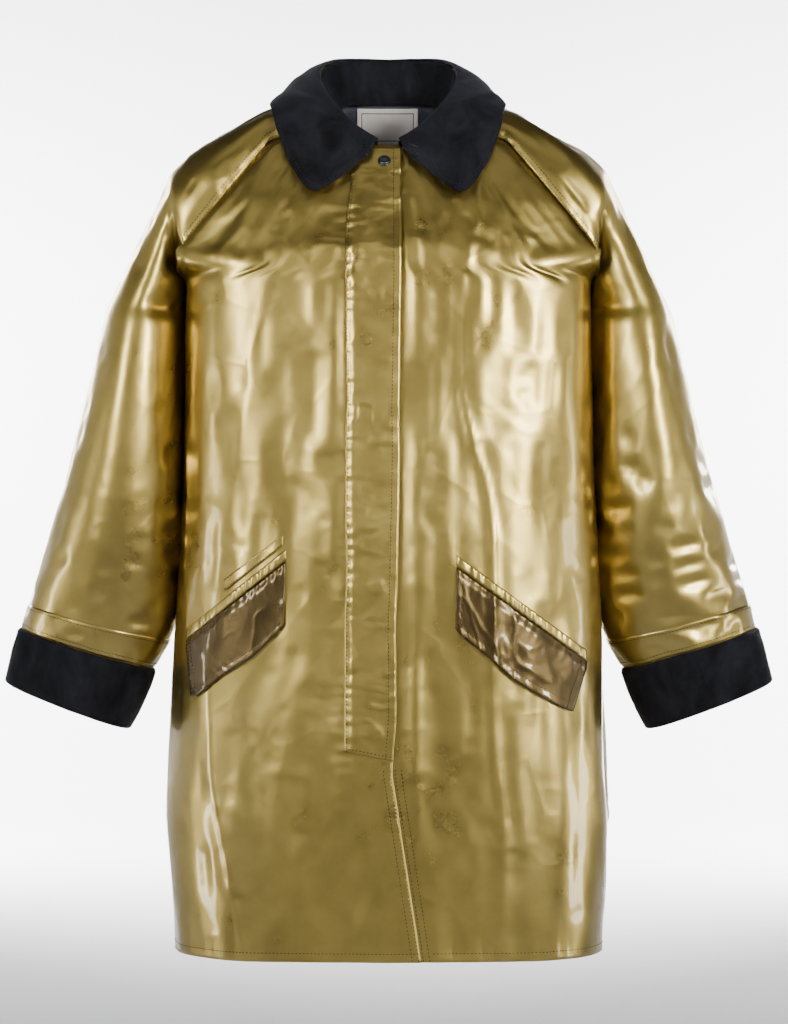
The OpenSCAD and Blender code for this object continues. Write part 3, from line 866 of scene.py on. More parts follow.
shown("front_right", frontGrid["right"], goldVinyl, "torso", ["front_panel_right"],
      facing=-1, inner=goldShade)
shown("front_left", frontGrid["left"], goldVinyl, "torso", ["front_panel_left"],
      inner=goldShade)
shown("back", backGrid, goldVinyl, "torso", ["back_panel"], facing=-1,
      inner=goldShade)
for sideName, sign in (("left", 1), ("right", -1)):
    piece = shown("raglan_sleeve_" + sideName, sleeveGrid[sideName], goldVinyl, None,
                  ["shoulder_" + sideName, "sleeve_" + sideName],
                  facing=-sign, inner=goldShade)
    "sleeve_" + sideName
    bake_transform(piece)
print("shell in place")


# what lies on the front panels
class PanelMap:   # finds the settled front surface over any place across and any height
    def __init__(self, grid):
        self.low = grid[..., 0].min()
        self.xs = np.arange(self.low, grid[..., 0].max() + 3, 3.0)
        self.y = []
        self.z = []
        for row in grid:
            order = np.argsort(row[:, 0])
            self.y.append(np.interp(self.xs, row[order, 0], row[order, 1]))
            self.z.append(np.interp(self.xs, row[order, 0], row[order, 2]))
        self.y = np.array(self.y)
        self.z = np.array(self.z)

    def depth(self, x, z):
        at = np.clip((x - self.low) / 3.0, 0, len(self.xs) - 1.001)
        k = at.astype(int)
        out = np.empty(x.shape)
        for place in np.ndindex(x.shape):
            c = k[place]
            a = np.interp(z[place], self.z[:, c], self.y[:, c])
            b = np.interp(z[place], self.z[:, c + 1], self.y[:, c + 1])
            out[place] = mix(a, b, at[place] - c)
        return out


panelMap = {"right": PanelMap(frontGrid["right"]), "left": PanelMap(frontGrid["left"])}


def onPanel(sideName, x, z, lift):
    y = panelMap[sideName].depth(x, z)
    dx = (frontAt(x + 1, z) - frontAt(x - 1, z)) / 2
    dz = (frontAt(x, z + 1) - frontAt(x, z - 1)) / 2
    n = np.stack([dx, -np.ones_like(dx), dz], axis=-1)
    n /= np.linalg.norm(n, axis=-1, keepdims=True)
    return np.stack([x, y, z], axis=-1) + n * np.asarray(lift)[..., None]


def alongLine(corners, u):
    pts = np.array(corners, float)
    at = np.clip(np.asarray(u) * (len(pts) - 1), 0, len(pts) - 1.0001)
    k = at.astype(int)
    return mix(pts[k], pts[k + 1], (at - k)[..., None])


flyLook = {
    "seamX": -44.0, "bottom": -676.0, "bottomRise": 10.0, "top": -46.0, "topSeamX": -37.0,
    "lift": 3.3, "snapHeights": [-200, -349, -498, -647], "snapX": -12.0, "snapBulge": 0.9,
    "bendFrom": (0, -0.1, -0.1), "bendTo": (0, -0.12, -0.24),
}


def flyShape():
    rows, cols = gridSize(56, 630, 2.6)
    v = np.linspace(0, 1, rows)[:, None]
    u = np.linspace(0, 1, cols)[None, :]
    freeZ = mix(flyLook["bottom"], flyLook["top"], v)
    seamZ = mix(flyLook["bottom"] + flyLook["bottomRise"], flyLook["top"], v)
    z = mix(seamZ, freeZ, u)
    seamX = flyLook["seamX"] + (flyLook["topSeamX"] - flyLook["seamX"]) * ease(z, -150, -46)
    seamX = seamX + 1.2 * softNoise(z / 60, z * 0, 5)
    freeX = frontEdge(z) + 1.2 + 1.1 * softNoise(z / 45, z * 0, 6)
    x = mix(seamX, freeX, u)
    lift = mix(1.3, flyLook["lift"], ease(u, 0.02, 0.14)) + 0 * z
    lift = lift + 0.9 * ease(u, 0.8, 1.0) * softNoise(z / 28, z * 0, 7)
    for snapZ in flyLook["snapHeights"]:
        r2 = (x - flyLook["snapX"]) ** 2 + (z - snapZ) ** 2
        lift = lift + flyLook["snapBulge"] * np.exp(-(r2 / 75) ** 1.6)
    a = u * 54 + 0 * z
    d = z + 900
    lift = lift + pucker(a - 3, d, 7, 0.4, 10, 31) + pucker(54 - a - 8, d, 6, 0.4, 9, 33)
    lift = lift + pucker(54 - a, d, 4, 0.35, 8, 35) + creases(a, d, 36, 34, 0.9, -0.2, 0.5)
    lift = lift + creases(a, d, 38, 15, 0.45, 0.5, 0.55)
    return onPanel("right", x, z, np.maximum(lift, 0.9))


flyGrid = flyShape()
fly = shown("fly", flyGrid, goldVinyl, None, ["fly_upper", "fly_strip"],
            inner=goldShade, thickness=1.1, restsOn=["front_right"])
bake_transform(fly)

under = np.stack(np.meshgrid(np.linspace(0, 1, 150), np.linspace(0, 1, 12), indexing="ij"), axis=-1)
underX = mix(-38, 8, under[..., 1])
underZ = mix(-686, -52, under[..., 0])
underGrid = onPanel("right", underX, underZ, -8.4 + 0.25 * softNoise(underX / 9, underZ / 30, 41))
shown("placket", underGrid, goldShade, "torso", ["under_placket"], thickness=1.0)
print("fly ready")

flapLook = {
    "right": {"top": [(-208, -554), (-104, -472)],
              "foot": [(-200, -616), (-171, -592), (-138, -571), (-106, -541)]},
    "left": {"top": [(70, -478), (204, -576)], "foot": [(68, -544), (96, -566), (130, -596), (188, -630)]},
    "lift": 3.2, "sag": 1.6, "stripHeight": 9.0,
    "foldStart": -1.0, "foldEnd": 10.0,   # below the top edge: where lifting starts and is full
}


def roundedShare(t, corner):   # pulls a share of an edge back a little close to its corners
    return corner * (np.exp(-t / 0.05) + np.exp(-(1 - t) / 0.05))


def flapShape(sideName, seed):
    top = flapLook[sideName]["top"]
    foot = flapLook[sideName]["foot"]
    wide = math.dist(top[0], top[1])
    rows, cols = gridSize(wide, 64, 2.2)
    v = np.linspace(0, 1, rows)[:, None] + np.zeros((1, cols))
    u = np.linspace(0, 1, cols)[None, :] + np.zeros((rows, 1))
    low = alongLine(foot, u)
    high = alongLine(top, u)
    lowZ = low[..., 1] + roundedShare(u, 3.5)
    x = mix(low[..., 0], high[..., 0], v)
    z = mix(lowZ, high[..., 1], v)
    lift = mix(flapLook["lift"], 1.5, ease(v, 0.84, 0.99))
    lift = lift + flapLook["sag"] * (1 - v) ** 2 * (0.5 + 0.5 * softNoise(u * 3, v, seed))
    a = u * wide
    d = v * 64
    edge = np.minimum(np.minimum(a, wide - a), d)
    lift = lift + pucker(edge - 8, a + d, 6, 0.4, 9, seed + 2) + pucker(64 - d, a, 9, 0.7, 10, seed + 4)
    lift = lift + creases(a, d, seed + 6, 30, 1.0, 0.5) + creases(a, d, seed + 8, 14, 0.35, -0.5)
    lift = lift + 0.5 * ease(edge, 9, 3)
    return onPanel(sideName, x, z, np.maximum(lift, 1.2))


def flapFold(sideName):   # two points between which a flap starts to lift
    top = flapLook[sideName]["top"]
    mid = np.array([(top[0][k] + top[1][k]) / 2 for k in range(2)])
    down = np.array([top[1][1] - top[0][1], -(top[1][0] - top[0][0])], float)
    down /= np.linalg.norm(down)
    if down[1] > 0:
        down = -down
    depth = float(frontAt(mid[0], mid[1]))
    start = mid + down * flapLook["foldStart"]
    end = mid + down * flapLook["foldEnd"]
    return (start[0] * mm, depth * mm, start[1] * mm), (end[0] * mm, depth * mm, end[1] * mm)


flapGrid = {"right": flapShape("right", 51), "left": flapShape("left", 52)}
for sideName in ("right", "left"):
    top = flapLook[sideName]["top"]
    flap = shown("flap_" + sideName, flapGrid[sideName], goldFlapPaintedShade, None,
                 ["pocket_flap_" + sideName, "flap_facing_" + sideName],
                 inner=goldShade, thickness=1.2, restsOn=["front_" + sideName])
    "flap_" + sideName
    flapFold(sideName)
    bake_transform(flap)
    run = math.dist(top[0], top[1])
    rows, cols = gridSize(run, flapLook["stripHeight"] + 3, 1.8)
    u = np.linspace(0, 1, cols)[None, :] + np.zeros((rows, 1))
    v = np.linspace(0, 1, rows)[:, None] + np.zeros((1, cols))
    line = alongLine(top, u)
    x = line[..., 0]
    z = line[..., 1] + mix(0.5, 3 + flapLook["stripHeight"], v)
    lift = 1.5 + pucker(v * 0, u * run, 6, 0.75, 8, 61) - 0.6 * (2 * v - 1) ** 4
    stripGrid = onPanel(sideName, x, z, lift)
    shown("strip_" + sideName, stripGrid, goldVinyl, "torso", ["pocket_strip_" + sideName],
          thickness=0.9, restsOn=["front_" + sideName])
print("pockets ready")


# collar
collarLook = {
    "roll": [(0, 64, 67), (28, 62, 67), (56, 48, 63), (70, 22, 51), (71, -4, 34), (65, -28, 18), (53, -50, 0),
             (33, -70, -22), (11, -80, -38)],
    "fall": [(0, 88, 54), (44, 84, 58), (87, 60, 59), (101, 28, 46), (105, -12, 29), (103, -52, 8),
             (88, -82, -16), (60, -94, -38), (16, -90, -44)],
    "edge": [(0, 92, -6), (54, 90, -5), (102, 66, 4), (121, 22, 5), (121, -34, 2), (115, -74, -27),
             (100, -96, -65), (72, -111, -94), (18, -92, -50)],
    "neck": [(0, 60, 26), (26, 59, 26), (46, 46, 24), (58, 22, 16), (60, 0, 4), (54, -22, -8), (42, -42, -20),
             (26, -58, -30), (10, -66, -34)],
    "velvetThickness": 2.8, "underThickness": 1.1, "undulation": 1.6,
    "turnFrom": (0.1, 0.036, 0.03), "turnTo": (0.1, -0.012, 0.02),   # where turning up starts and is full
}


def collarHalf(rows, cols):   # from the middle of the back round to the front end, roll to edge
    u = np.linspace(0, 1, cols)
    a = catmull(collarLook["roll"], u)[None]
    b = catmull(collarLook["fall"], u)[None]
    c = catmull(collarLook["edge"], u)[None]
    v = np.linspace(0, 1, rows)[:, None, None]
    return (1 - v) ** 2 * a + 2 * v * (1 - v) * b + v * v * c


def padded(name, g, thick, material, body, nodes, facing, roundness=3.0, closed=False,
           openStart=False):
    # cloth with a soft rounded edge all round, between the grid and a second layer above it
    n = normalsOf(g, facing=facing)
    a, d = fabricPlan(g)
    edge = np.minimum(d, d[-1:] - d)
    if openStart:
        edge = np.minimum(edge, a[:, -1:] - a)
    elif not closed:
        edge = np.minimum(edge, np.minimum(a, a[:, -1:] - a))
    full = np.sqrt(np.clip(1 - (1 - np.clip(edge / roundness, 0, 1)) ** 2, 0, 1))
    top = g + n * (thick * (0.35 + 0.65 * full))[..., None]
    base = g + n * (thick * 0.35 * (1 - full))[..., None]
    if facing < 0:
        top = top[:, ::-1]
        base = base[:, ::-1]
        a = a[:, ::-1]
    rows, cols = g.shape[:2]
    count = rows * cols
    faces = []
    for i in range(rows - 1):
        for j in range(cols - 1):
            q = (i * cols + j, i * cols + j + 1, (i + 1) * cols + j + 1, (i + 1) * cols + j)
            faces.append(q)
            faces.append(tuple(count + k for k in q[::-1]))
    rim = [(j, j + 1) for j in range(cols - 1)]
    rim += [(i * cols + cols - 1, (i + 1) * cols + cols - 1) for i in range(rows - 1)]
    rim += [(rows * cols - 1 - j, rows * cols - 2 - j) for j in range(cols - 1)]
    rim += [((rows - 1 - i) * cols, (rows - 2 - i) * cols) for i in range(rows - 1)]
    faces += [(q[1], q[0], count + q[0], count + q[1]) for q in rim]
    mesh = bpy.data.meshes.new(name)
    mesh.from_pydata((np.concatenate([top.reshape(-1, 3), base.reshape(-1, 3)]) * mm).tolist(), [], faces)
    flat = np.stack([a * mm, d * mm], axis=-1).reshape(-1, 2)
    addClothUv(mesh, np.concatenate([flat, flat]))
    mesh.materials.append(material)
    mesh.polygons.foreach_set("use_smooth", [True] * len(mesh.polygons))
    obj = bpy.data.objects.new(name, mesh)
    bpy.context.scene.collection.objects.link(obj)
    if body:
        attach(obj, body)
    if nodes:
        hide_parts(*nodes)
    return obj


collarGrid = {}
for sideName, sign in (("left", 1), ("right", -1)):
    g = collarHalf(46, 170)
    a, d = fabricPlan(g)
    wave = softNoise(a / 42, d / 60, 71 + sign) + 0.5 * softNoise(a / 19, d / 25, 73 + sign)
    near = ease(a, 5, 40)
    lift = collarLook["undulation"] * wave * near * ease(d, 0, 30)
    lift += pucker(d[-1:] - d - 6, a, 5, 0.3, 11, 75 + sign) * near
    n = normalsOf(g)
    outward = -1 if n[20, 40, 2] < 0 else 1
    g = g + n * lift[..., None] * outward
    g[:, 0, 0] -= 0.8   # the halves meet with a small overlap at the middle of the back
    g = g * (sign, 1, 1)
    face = 1 if normalsOf(g)[8, 90, 2] > 0 else -1
    collarGrid[sideName] = (g, face)
    shift = normalsOf(g, facing=face)
    velvetPiece = padded("collar_" + sideName, g + shift * 1.6, collarLook["velvetThickness"], blackVelvet,
                         None, ["collar_leaf_" + sideName] + (["collar_back"] if sign > 0 else []),
                         face, openStart=True)
    underPiece = padded("collar_under_" + sideName, (g + shift * 0.3)[11:], collarLook["underThickness"],
                        goldShade, None,
                        ["under_collar_" + sideName] + (["under_collar_back"] if sign > 0 else []),
                        face, 1.5, openStart=True)
    for piece in (velvetPiece, underPiece):
        "collar_" + sideName
        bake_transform(piece)

u = np.linspace(-1, 1, 161)
neckLine = catmull(collarLook["neck"], np.abs(u)) * np.stack([np.sign(u), u * 0 + 1, u * 0 + 1], axis=1)
rollLine = catmull(collarLook["roll"], np.abs(u)) * np.stack([np.sign(u), u * 0 + 1, u * 0 + 1], axis=1)
rollLine = (rollLine - (0, 0, 0.5)) * (0.985, 0.985, 1)
neckLine = (neckLine - (0, 0, 8)) * (0.96, 0.96, 1)
v = np.linspace(0, 1, 18)[:, None, None]
standGrid = mix(neckLine[None], rollLine[None], v)
standGrid[..., 1] += (np.sin(v * math.pi) * 2)[..., 0]
shown("stand", standGrid, blackVelvet, "torso", ["collar_stand"], thickness=1.6)
print("collar ready")

# cuffs, sleeve hems and linings
insideLook = {
    "armLiningBehind": 5.5, "frontLiningBehind": 5.5, "backLiningBehind": 5.0,
    "facingBehind": 2.9, "hemBehind": 2.7, "frontWidth": 250, "hemRows": 9,
    "liningFrom": {"right": 60, "left": 86}, "facingTo": {"right": 62, "left": 86},
    "hemFrom": {"right": 64, "left": 88},
}
for sideName, sign in (("left", 1), ("right", -1)):
    g = sleeveGrid[sideName]
    face = -sign
    body = "sleeve_" + sideName
    vs = np.linspace(raglan["bandFrom"], raglan["bandTo"], 16)
    band = np.array([ringOn(g, v, 0.0, face) for v in vs])
    a, d = fabricPlan(band)
    height = d[-1:].mean()
    lift = 1.3 + pucker(d * 0, a, 6, 0.5, 9, 81 + sign) - 0.5 * (2 * d / height - 1) ** 6
    band = band + normalsOf(band, facing=face) * lift[..., None]
    shown("sleeve_hem_" + sideName, band, goldVinyl, body, ["sleeve_band_" + sideName],
          facing=face, thickness=1.0, restsOn=["raglan_sleeve_" + sideName])
    vs = np.linspace(raglan["cuffFrom"], 0.9995, 26)
    base = np.array([ringOn(g, v, 0.0, face) for v in vs])
    a, d = fabricPlan(base)
    wave = softNoise(a / 34, d / 40, 83 + sign) + 0.4 * softNoise(a / 15, d / 18, 84)
    cuff = base + normalsOf(base, facing=face) * (1.2 + 0.9 * wave * ease(d, 0, 12))[..., None]
    cuff[:, -1] = cuff[:, 0]
    padded("velvet_cuff_" + sideName, cuff, 3.2, blackVelvet, body, ["cuff_" + sideName],
           face, 3.4, closed=True)
    inner = smoothed(resample(g, 90, 44), 5)
    inner = inner - normalsOf(inner, facing=face) * insideLook["armLiningBehind"]
    rows = inner.shape[0]
    inner = inner[3:int(rows * 0.985)]
    lining = shown("arm_lining_" + sideName, inner, navyLining, None,
                   ["sleeve_lining_" + sideName, "shoulder_lining_" + sideName],
                   facing=face, thickness=0.6)
    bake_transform(lining)

for sideName, facing in (("right", -1), ("left", 1)):
    g = frontGrid[sideName]
    inner = smoothed(resample(g, 110, 44), 5)
    inner = inner - normalsOf(inner, facing=facing) * insideLook["frontLiningBehind"]
    first = int(44 * insideLook["liningFrom"][sideName] / insideLook["frontWidth"])
    shown("lining_front_" + sideName, inner[4:-2, first:-1], navyLining, "torso",
          ["front_lining_" + sideName, "chest_lining_" + sideName], facing=facing,
          thickness=0.6)
    strip = g - normalsOf(g, facing=facing) * insideLook["facingBehind"]
    cols = g.shape[1]
    last = int(cols * insideLook["facingTo"][sideName] / insideLook["frontWidth"])
    strip = strip[2:-3:2, 1:last]
    shown("facing_" + sideName, strip, goldShade, "torso", ["front_facing_" + sideName],
          facing=facing, thickness=0.9)
    band = g - normalsOf(g, facing=facing) * insideLook["hemBehind"]
    first = int(cols * insideLook["hemFrom"][sideName] / insideLook["frontWidth"])
    band = band[:insideLook["hemRows"], first:-1]
    shown("hem_" + sideName, band, goldShade, "torso", ["hem_band_" + sideName],
          facing=facing, thickness=0.9)
inner = smoothed(resample(backGrid, 110, 88), 5)
inner = inner - normalsOf(inner, facing=-1) * insideLook["backLiningBehind"]
shown("lining_back", inner[4:, 1:-1], navyLining, "torso", ["back_lining"], facing=-1,
      thickness=0.6)
band = (backGrid - normalsOf(backGrid, facing=-1) * insideLook["hemBehind"])[:insideLook["hemRows"], 1:-1]
shown("hem_back", band, goldShade, "torso", ["hem_band_back"], facing=-1,
      thickness=0.9)
print("linings ready")

# small sewn parts
labelLook = {"left": 32.0, "right": -34.0, "low": -23.0, "high": 15.0, "depth": 7.2}


def labelMaterial(name, centreX, centreZ, halfW, halfH):   # plain woven label with a thin woven frame
    b = Bench(name, {"Sheen Weight": 0.2, "Specular IOR Level": 0.4})
    pos = b.coords()
    parts = b.node("ShaderNodeSeparateXYZ", values={"Vector": pos})
    x = Wire(b, parts.socket.node.outputs["X"])
    z = Wire(b, parts.socket.node.outputs["Z"])
    edgeX = abs(x - centreX) - (halfW - 0.005)
    edgeZ = abs(z - centreZ) - (halfH - 0.005)
    outside = edgeX.math("MAXIMUM", edgeX, edgeZ)
    frameLine = b.level(abs(outside), 0.0003, 0.0006, 1.0, 0.0)
    weave = b.node("ShaderNodeTexWave", {"wave_type": "BANDS", "bands_direction": "X"},
                   {"Vector": pos, "Scale": 420.0, "Distortion": 0.4}) * 0.5
    weft = b.node("ShaderNodeTexWave", {"wave_type": "BANDS", "bands_direction": "Z"},
                  {"Vector": pos, "Scale": 420.0, "Distortion": 0.4}) * 0.5
    cloth = weave + weft
    cream = b.mixColour(b.level(cloth * 0.7 + b.noise(pos, 90.0) * 0.3, 0.25, 0.75),
                        (0.56, 0.5, 0.44, 1), (0.8, 0.76, 0.7, 1))
    b.feed(colour=b.mixColour(frameLine, cream, (0.03, 0.035, 0.06, 1)))
    b.feed(rough=b.level(cloth, 0.0, 1.0, 0.9, 0.7))
    b.feed(normal=b.bump(cloth, 0.5, 0.0002))
    return b.material


labelCloth = labelMaterial("labelCloth", (labelLook["left"] + labelLook["right"]) / 2 * mm,
                           (labelLook["low"] + labelLook["high"]) / 2 * mm,
                           (labelLook["left"] - labelLook["right"]) / 2 * mm,
                           (labelLook["high"] - labelLook["low"]) / 2 * mm)
part = np.stack(np.meshgrid(np.linspace(0, 1, 26), np.linspace(0, 1, 42), indexing="ij"), axis=-1)
x = mix(labelLook["right"], labelLook["left"], part[..., 1])
z = mix(labelLook["low"], labelLook["high"], part[..., 0])
y = backAt(x, z) - labelLook["depth"] + 0.5 * softNoise(x / 13, z / 11, 91)
labelGrid = np.stack([x, y, z], axis=-1)
shown("label", labelGrid, labelCloth, "torso", ["neck_label"], thickness=0.5,
      restsOn=["lining_back"])


def boardOn(sideName, low, high, step, lift, wobble, seed):
    wide = max(math.dist(low[0], low[1]), 10)
    tall = max(math.dist(low[0], high[0]), 4)
    rows, cols = gridSize(wide, tall, step)
    rows = max(rows, 5)
    v = np.linspace(0, 1, rows)[:, None] + np.zeros((1, cols))
    u = np.linspace(0, 1, cols)[None, :] + np.zeros((rows, 1))
    a = alongLine(low, u)
    b = alongLine(high, u)
    x = mix(a[..., 0], b[..., 0], v)
    z = mix(a[..., 1], b[..., 1], v)
    return onPanel(sideName, x, z, lift + wobble * softNoise(u * wide / 9, v * tall / 12, seed))


weltGrid = boardOn("right", [(-167, -503), (-107, -456)], [(-167, -491), (-107, -445)], 1.6, 2.7, 0.35, 95)
shown("slit_welt", weltGrid, goldVinyl, "torso", ["slit_pocket_welt"], thickness=1.0,
      restsOn=["front_right"])
slitBag = boardOn("right", [(-172, -490), (-108, -440)], [(-166, -400), (-102, -350)], 5, -5.4, 0.4, 96)
shown("slit_bag", slitBag, navyLining, "torso", ["slit_pocket_bag"], thickness=0.7)


def pocketBag(sideName, seed):   # two layers of lining sewn together round three sides
    top = np.array(flapLook[sideName]["top"], float)
    high = [mix(top[0], top[1], k) - (0, 9) for k in (0.08, 0.92)]
    low = [q - (0, 140) for q in high]
    near = boardOn(sideName, low, high, 5, -7.2, 0.5, seed)
    far = boardOn(sideName, low, high, 5, -20, 1.5, seed + 1)
    rows, cols = near.shape[:2]
    v = np.linspace(0, 1, rows)[:, None]
    u = np.linspace(0, 1, cols)[None, :]
    belly = np.clip(np.minimum(np.minimum(u, 1 - u) * 6, v * 5), 0, 1) ** 0.5
    far = mix(near, far, belly[..., None])
    return near, far


for sideName, seed in (("right", 97), ("left", 98)):
    near, far = pocketBag(sideName, seed)
    far = far + (0, 0.6, 0)
    shell = np.concatenate([near[::-1], far[1:]], axis=0)
    shown("bag_" + sideName, shell, navyLining, "torso", ["pocket_bag_" + sideName],
          thickness=0.6)
print("label and pocket bags ready")

# snaps
snapLook = {"diameter": 13.6, "capHeight": 3.2, "sockets": 12.0, "topX": -4.0, "topHeight": -62.0}


def lathe(profile, count=40):
    a = np.linspace(0, 2 * math.pi, count, endpoint=False)
    verts = []
    faces = []
    for k, (r, h) in enumerate(profile):
        for t in a:
            verts.append((r * math.cos(t), r * math.sin(t), h))
    for k in range(len(profile) - 1):
        for j in range(count):
            e = (j + 1) % count
            faces.append((k * count + j, k * count + e, (k + 1) * count + e, (k + 1) * count + j))
    for end, order in ((0, -1), (len(profile) - 1, 1)):
        verts.append((0, 0, profile[end][1]))
        for j in range(count):
            e = (j + 1) % count
            f = (end * count + j, end * count + e, len(verts) - 1)
            faces.append(f if order > 0 else f[::-1])
    return np.array(verts), faces


def snapPiece(name, profile, places, material, nodes):
    verts = []
    faces = []
    shape, shapeFaces = lathe(profile)
    for x, z, depth in places:
        at = onPanel("right", np.array([x]), np.array([z]), np.array([depth]))[0]
        slope = float(frontAt(x, z + 3) - frontAt(x, z - 3)) / 6
        out = np.array([0, -1, slope])
        out /= np.linalg.norm(out)
        across = np.array([1.0, 0, 0])
        up = np.cross(out, across)
        start = sum(len(v) for v in verts)
        verts.append(at + shape[:, :1] * across + shape[:, 1:2] * up + shape[:, 2:] * out)
        faces += [tuple(start + k for k in f) for f in shapeFaces]
    mesh = bpy.data.meshes.new(name)
    mesh.from_pydata((np.concatenate(verts) * mm).tolist(), [], faces)
    mesh.materials.append(material)
    mesh.polygons.foreach_set("use_smooth", [True] * len(mesh.polygons))
    obj = bpy.data.objects.new(name, mesh)
    bpy.context.scene.collection.objects.link(obj)
    edges = obj.modifiers.new("edges", "EDGE_SPLIT")
    edges.split_angle = math.radians(50)
    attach(obj, "torso")
    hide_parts(*nodes)
    return obj


r = snapLook["diameter"] / 2
h = snapLook["capHeight"]
capProfile = [(r - 0.6, 0), (r, 0.3), (r, 0.9), (r - 0.25, 1.3), (r - 0.9, 1.5), (r - 1.3, 1.45)]
capProfile += [((r - 1.5) * math.cos(t), 1.45 + (h - 1.45) * math.sin(t)) for t in np.linspace(0.15, 1.45, 9)]
lowSnaps = [(flyLook["snapX"], z, 0.3) for z in flyLook["snapHeights"]]
allSnaps = [(snapLook["topX"], snapLook["topHeight"], 0)] + lowSnaps
snapPiece("top_snap", capProfile, [(snapLook["topX"], snapLook["topHeight"], flyLook["lift"])], blackLacquer,
          ["top_snap_cap"])
flat = [(r - 0.4, 0), (r, 0.2), (r, 0.6), (r - 0.5, 1.0), (r - 1.6, 1.1)]
snapPiece("inner_caps", flat, lowSnaps, blackLacquer, ["hidden_snap_caps"])
s = snapLook["sockets"] / 2
socket = [(s - 0.3, -1.6), (s, -1.3), (s, -0.4), (s - 0.5, 0), (3.4, 0), (3.0, -0.2), (2.6, -1.0)]
snapPiece("sockets", socket, [(x, z, -4.4) for x, z, depth in allSnaps], snapMetal, ["snap_sockets"])
stud = [(s - 0.3, 0), (s, 0.3), (s, 0.9), (s - 0.5, 1.2), (2.6, 1.2), (2.3, 1.5), (2.3, 2.2), (1.9, 2.6)]
snapPiece("studs", stud, [(x, z, -8) for x, z, depth in allSnaps], snapMetal, ["snap_studs"])
print("snaps ready")

# sewing thread
threadLook = {"spacing": 3.9, "length": 2.7, "thickness": 0.85, "lift": 0.2}


def stitchTree():   # one stitch on every point, lying along the point's direction
    tree = bpy.data.node_groups.new("stitches", "GeometryNodeTree")
    face = tree.interface
    face.new_socket("Geometry", in_out="INPUT", socket_type="NodeSocketGeometry")
    for label in ("Length", "Thickness"):
        face.new_socket(label, in_out="INPUT", socket_type="NodeSocketFloat")
    face.new_socket("Thread", in_out="INPUT", socket_type="NodeSocketMaterial")
    face.new_socket("Geometry", in_out="OUTPUT", socket_type="NodeSocketGeometry")
    link = tree.links.new
    start = tree.nodes.new("NodeGroupInput")
    ball = tree.nodes.new("GeometryNodeMeshIcoSphere")
    ball.inputs["Subdivisions"].default_value = 2
    ball.inputs["Radius"].default_value = 0.5
    size = tree.nodes.new("ShaderNodeCombineXYZ")
    link(start.outputs["Length"], size.inputs["X"])
    link(start.outputs["Thickness"], size.inputs["Y"])
    link(start.outputs["Thickness"], size.inputs["Z"])
    shape = tree.nodes.new("GeometryNodeTransform")
    link(ball.outputs["Mesh"], shape.inputs["Geometry"])
    link(size.outputs["Vector"], shape.inputs["Scale"])
    along = tree.nodes.new("GeometryNodeInputNamedAttribute")
    along.data_type = "FLOAT_VECTOR"
    along.inputs["Name"].default_value = "along"
    turn = tree.nodes.new("FunctionNodeAlignRotationToVector")
    turn.axis = "X"
    link(along.outputs["Attribute"], turn.inputs["Vector"])
    spread = tree.nodes.new("GeometryNodeInstanceOnPoints")
    link(start.outputs["Geometry"], spread.inputs["Points"])
    link(shape.outputs["Geometry"], spread.inputs["Instance"])
    link(turn.outputs["Rotation"], spread.inputs["Rotation"])
    real = tree.nodes.new("GeometryNodeRealizeInstances")
    link(spread.outputs["Instances"], real.inputs["Geometry"])
    paint = tree.nodes.new("GeometryNodeSetMaterial")
    link(real.outputs["Geometry"], paint.inputs["Geometry"])
    link(start.outputs["Thread"], paint.inputs["Material"])
    end = tree.nodes.new("NodeGroupOutput")
    link(paint.outputs["Geometry"], end.inputs["Geometry"])
    return tree


stitches = stitchTree()


def lineOn(g, rowsAt, colsAt, facing, lift=0.0):   # a line across a cloth grid, just above the cloth
    n = normalsOf(g, facing=facing)
    lifted = g + n * lift
    r = np.clip(rowsAt, 0, g.shape[0] - 1.001)
    c = np.clip(colsAt, 0, g.shape[1] - 1.001)
    i = r.astype(int)
    j = c.astype(int)
    fr = (r - i)[:, None]
    fc = (c - j)[:, None]
    return mix(mix(lifted[i, j], lifted[i, j + 1], fc), mix(lifted[i + 1, j], lifted[i + 1, j + 1], fc), fr)


# rows and columns at a distance from a side edge
def acrossAt(g, distance, first=0.0, last=1.0, fromEnd=False):
    across, down = fabricPlan(g)
    if fromEnd:
        across = across[:, -1:] - across
    rows = np.arange(int(first * (g.shape[0] - 1)), int(last * (g.shape[0] - 1)) + 1)
    cols = []
    for k in rows:
        if fromEnd:
            cols.append(np.interp(distance, across[k, ::-1], np.arange(g.shape[1])[::-1]))
        else:
            cols.append(np.interp(distance, across[k], np.arange(g.shape[1])))
    return rows.astype(float), np.array(cols)


def downAt(g, distance, first=0.0, last=1.0, fromEnd=False):
    across, down = fabricPlan(g)
    if fromEnd:
        down = down[-1:] - down
    cols = np.arange(int(first * (g.shape[1] - 1)), int(last * (g.shape[1] - 1)) + 1)
    rows = []
    for k in cols:
        if fromEnd:
            rows.append(np.interp(distance, down[::-1, k], np.arange(g.shape[0])[::-1]))
        else:
            rows.append(np.interp(distance, down[:, k], np.arange(g.shape[0])))
    return np.array(rows), cols.astype(float)


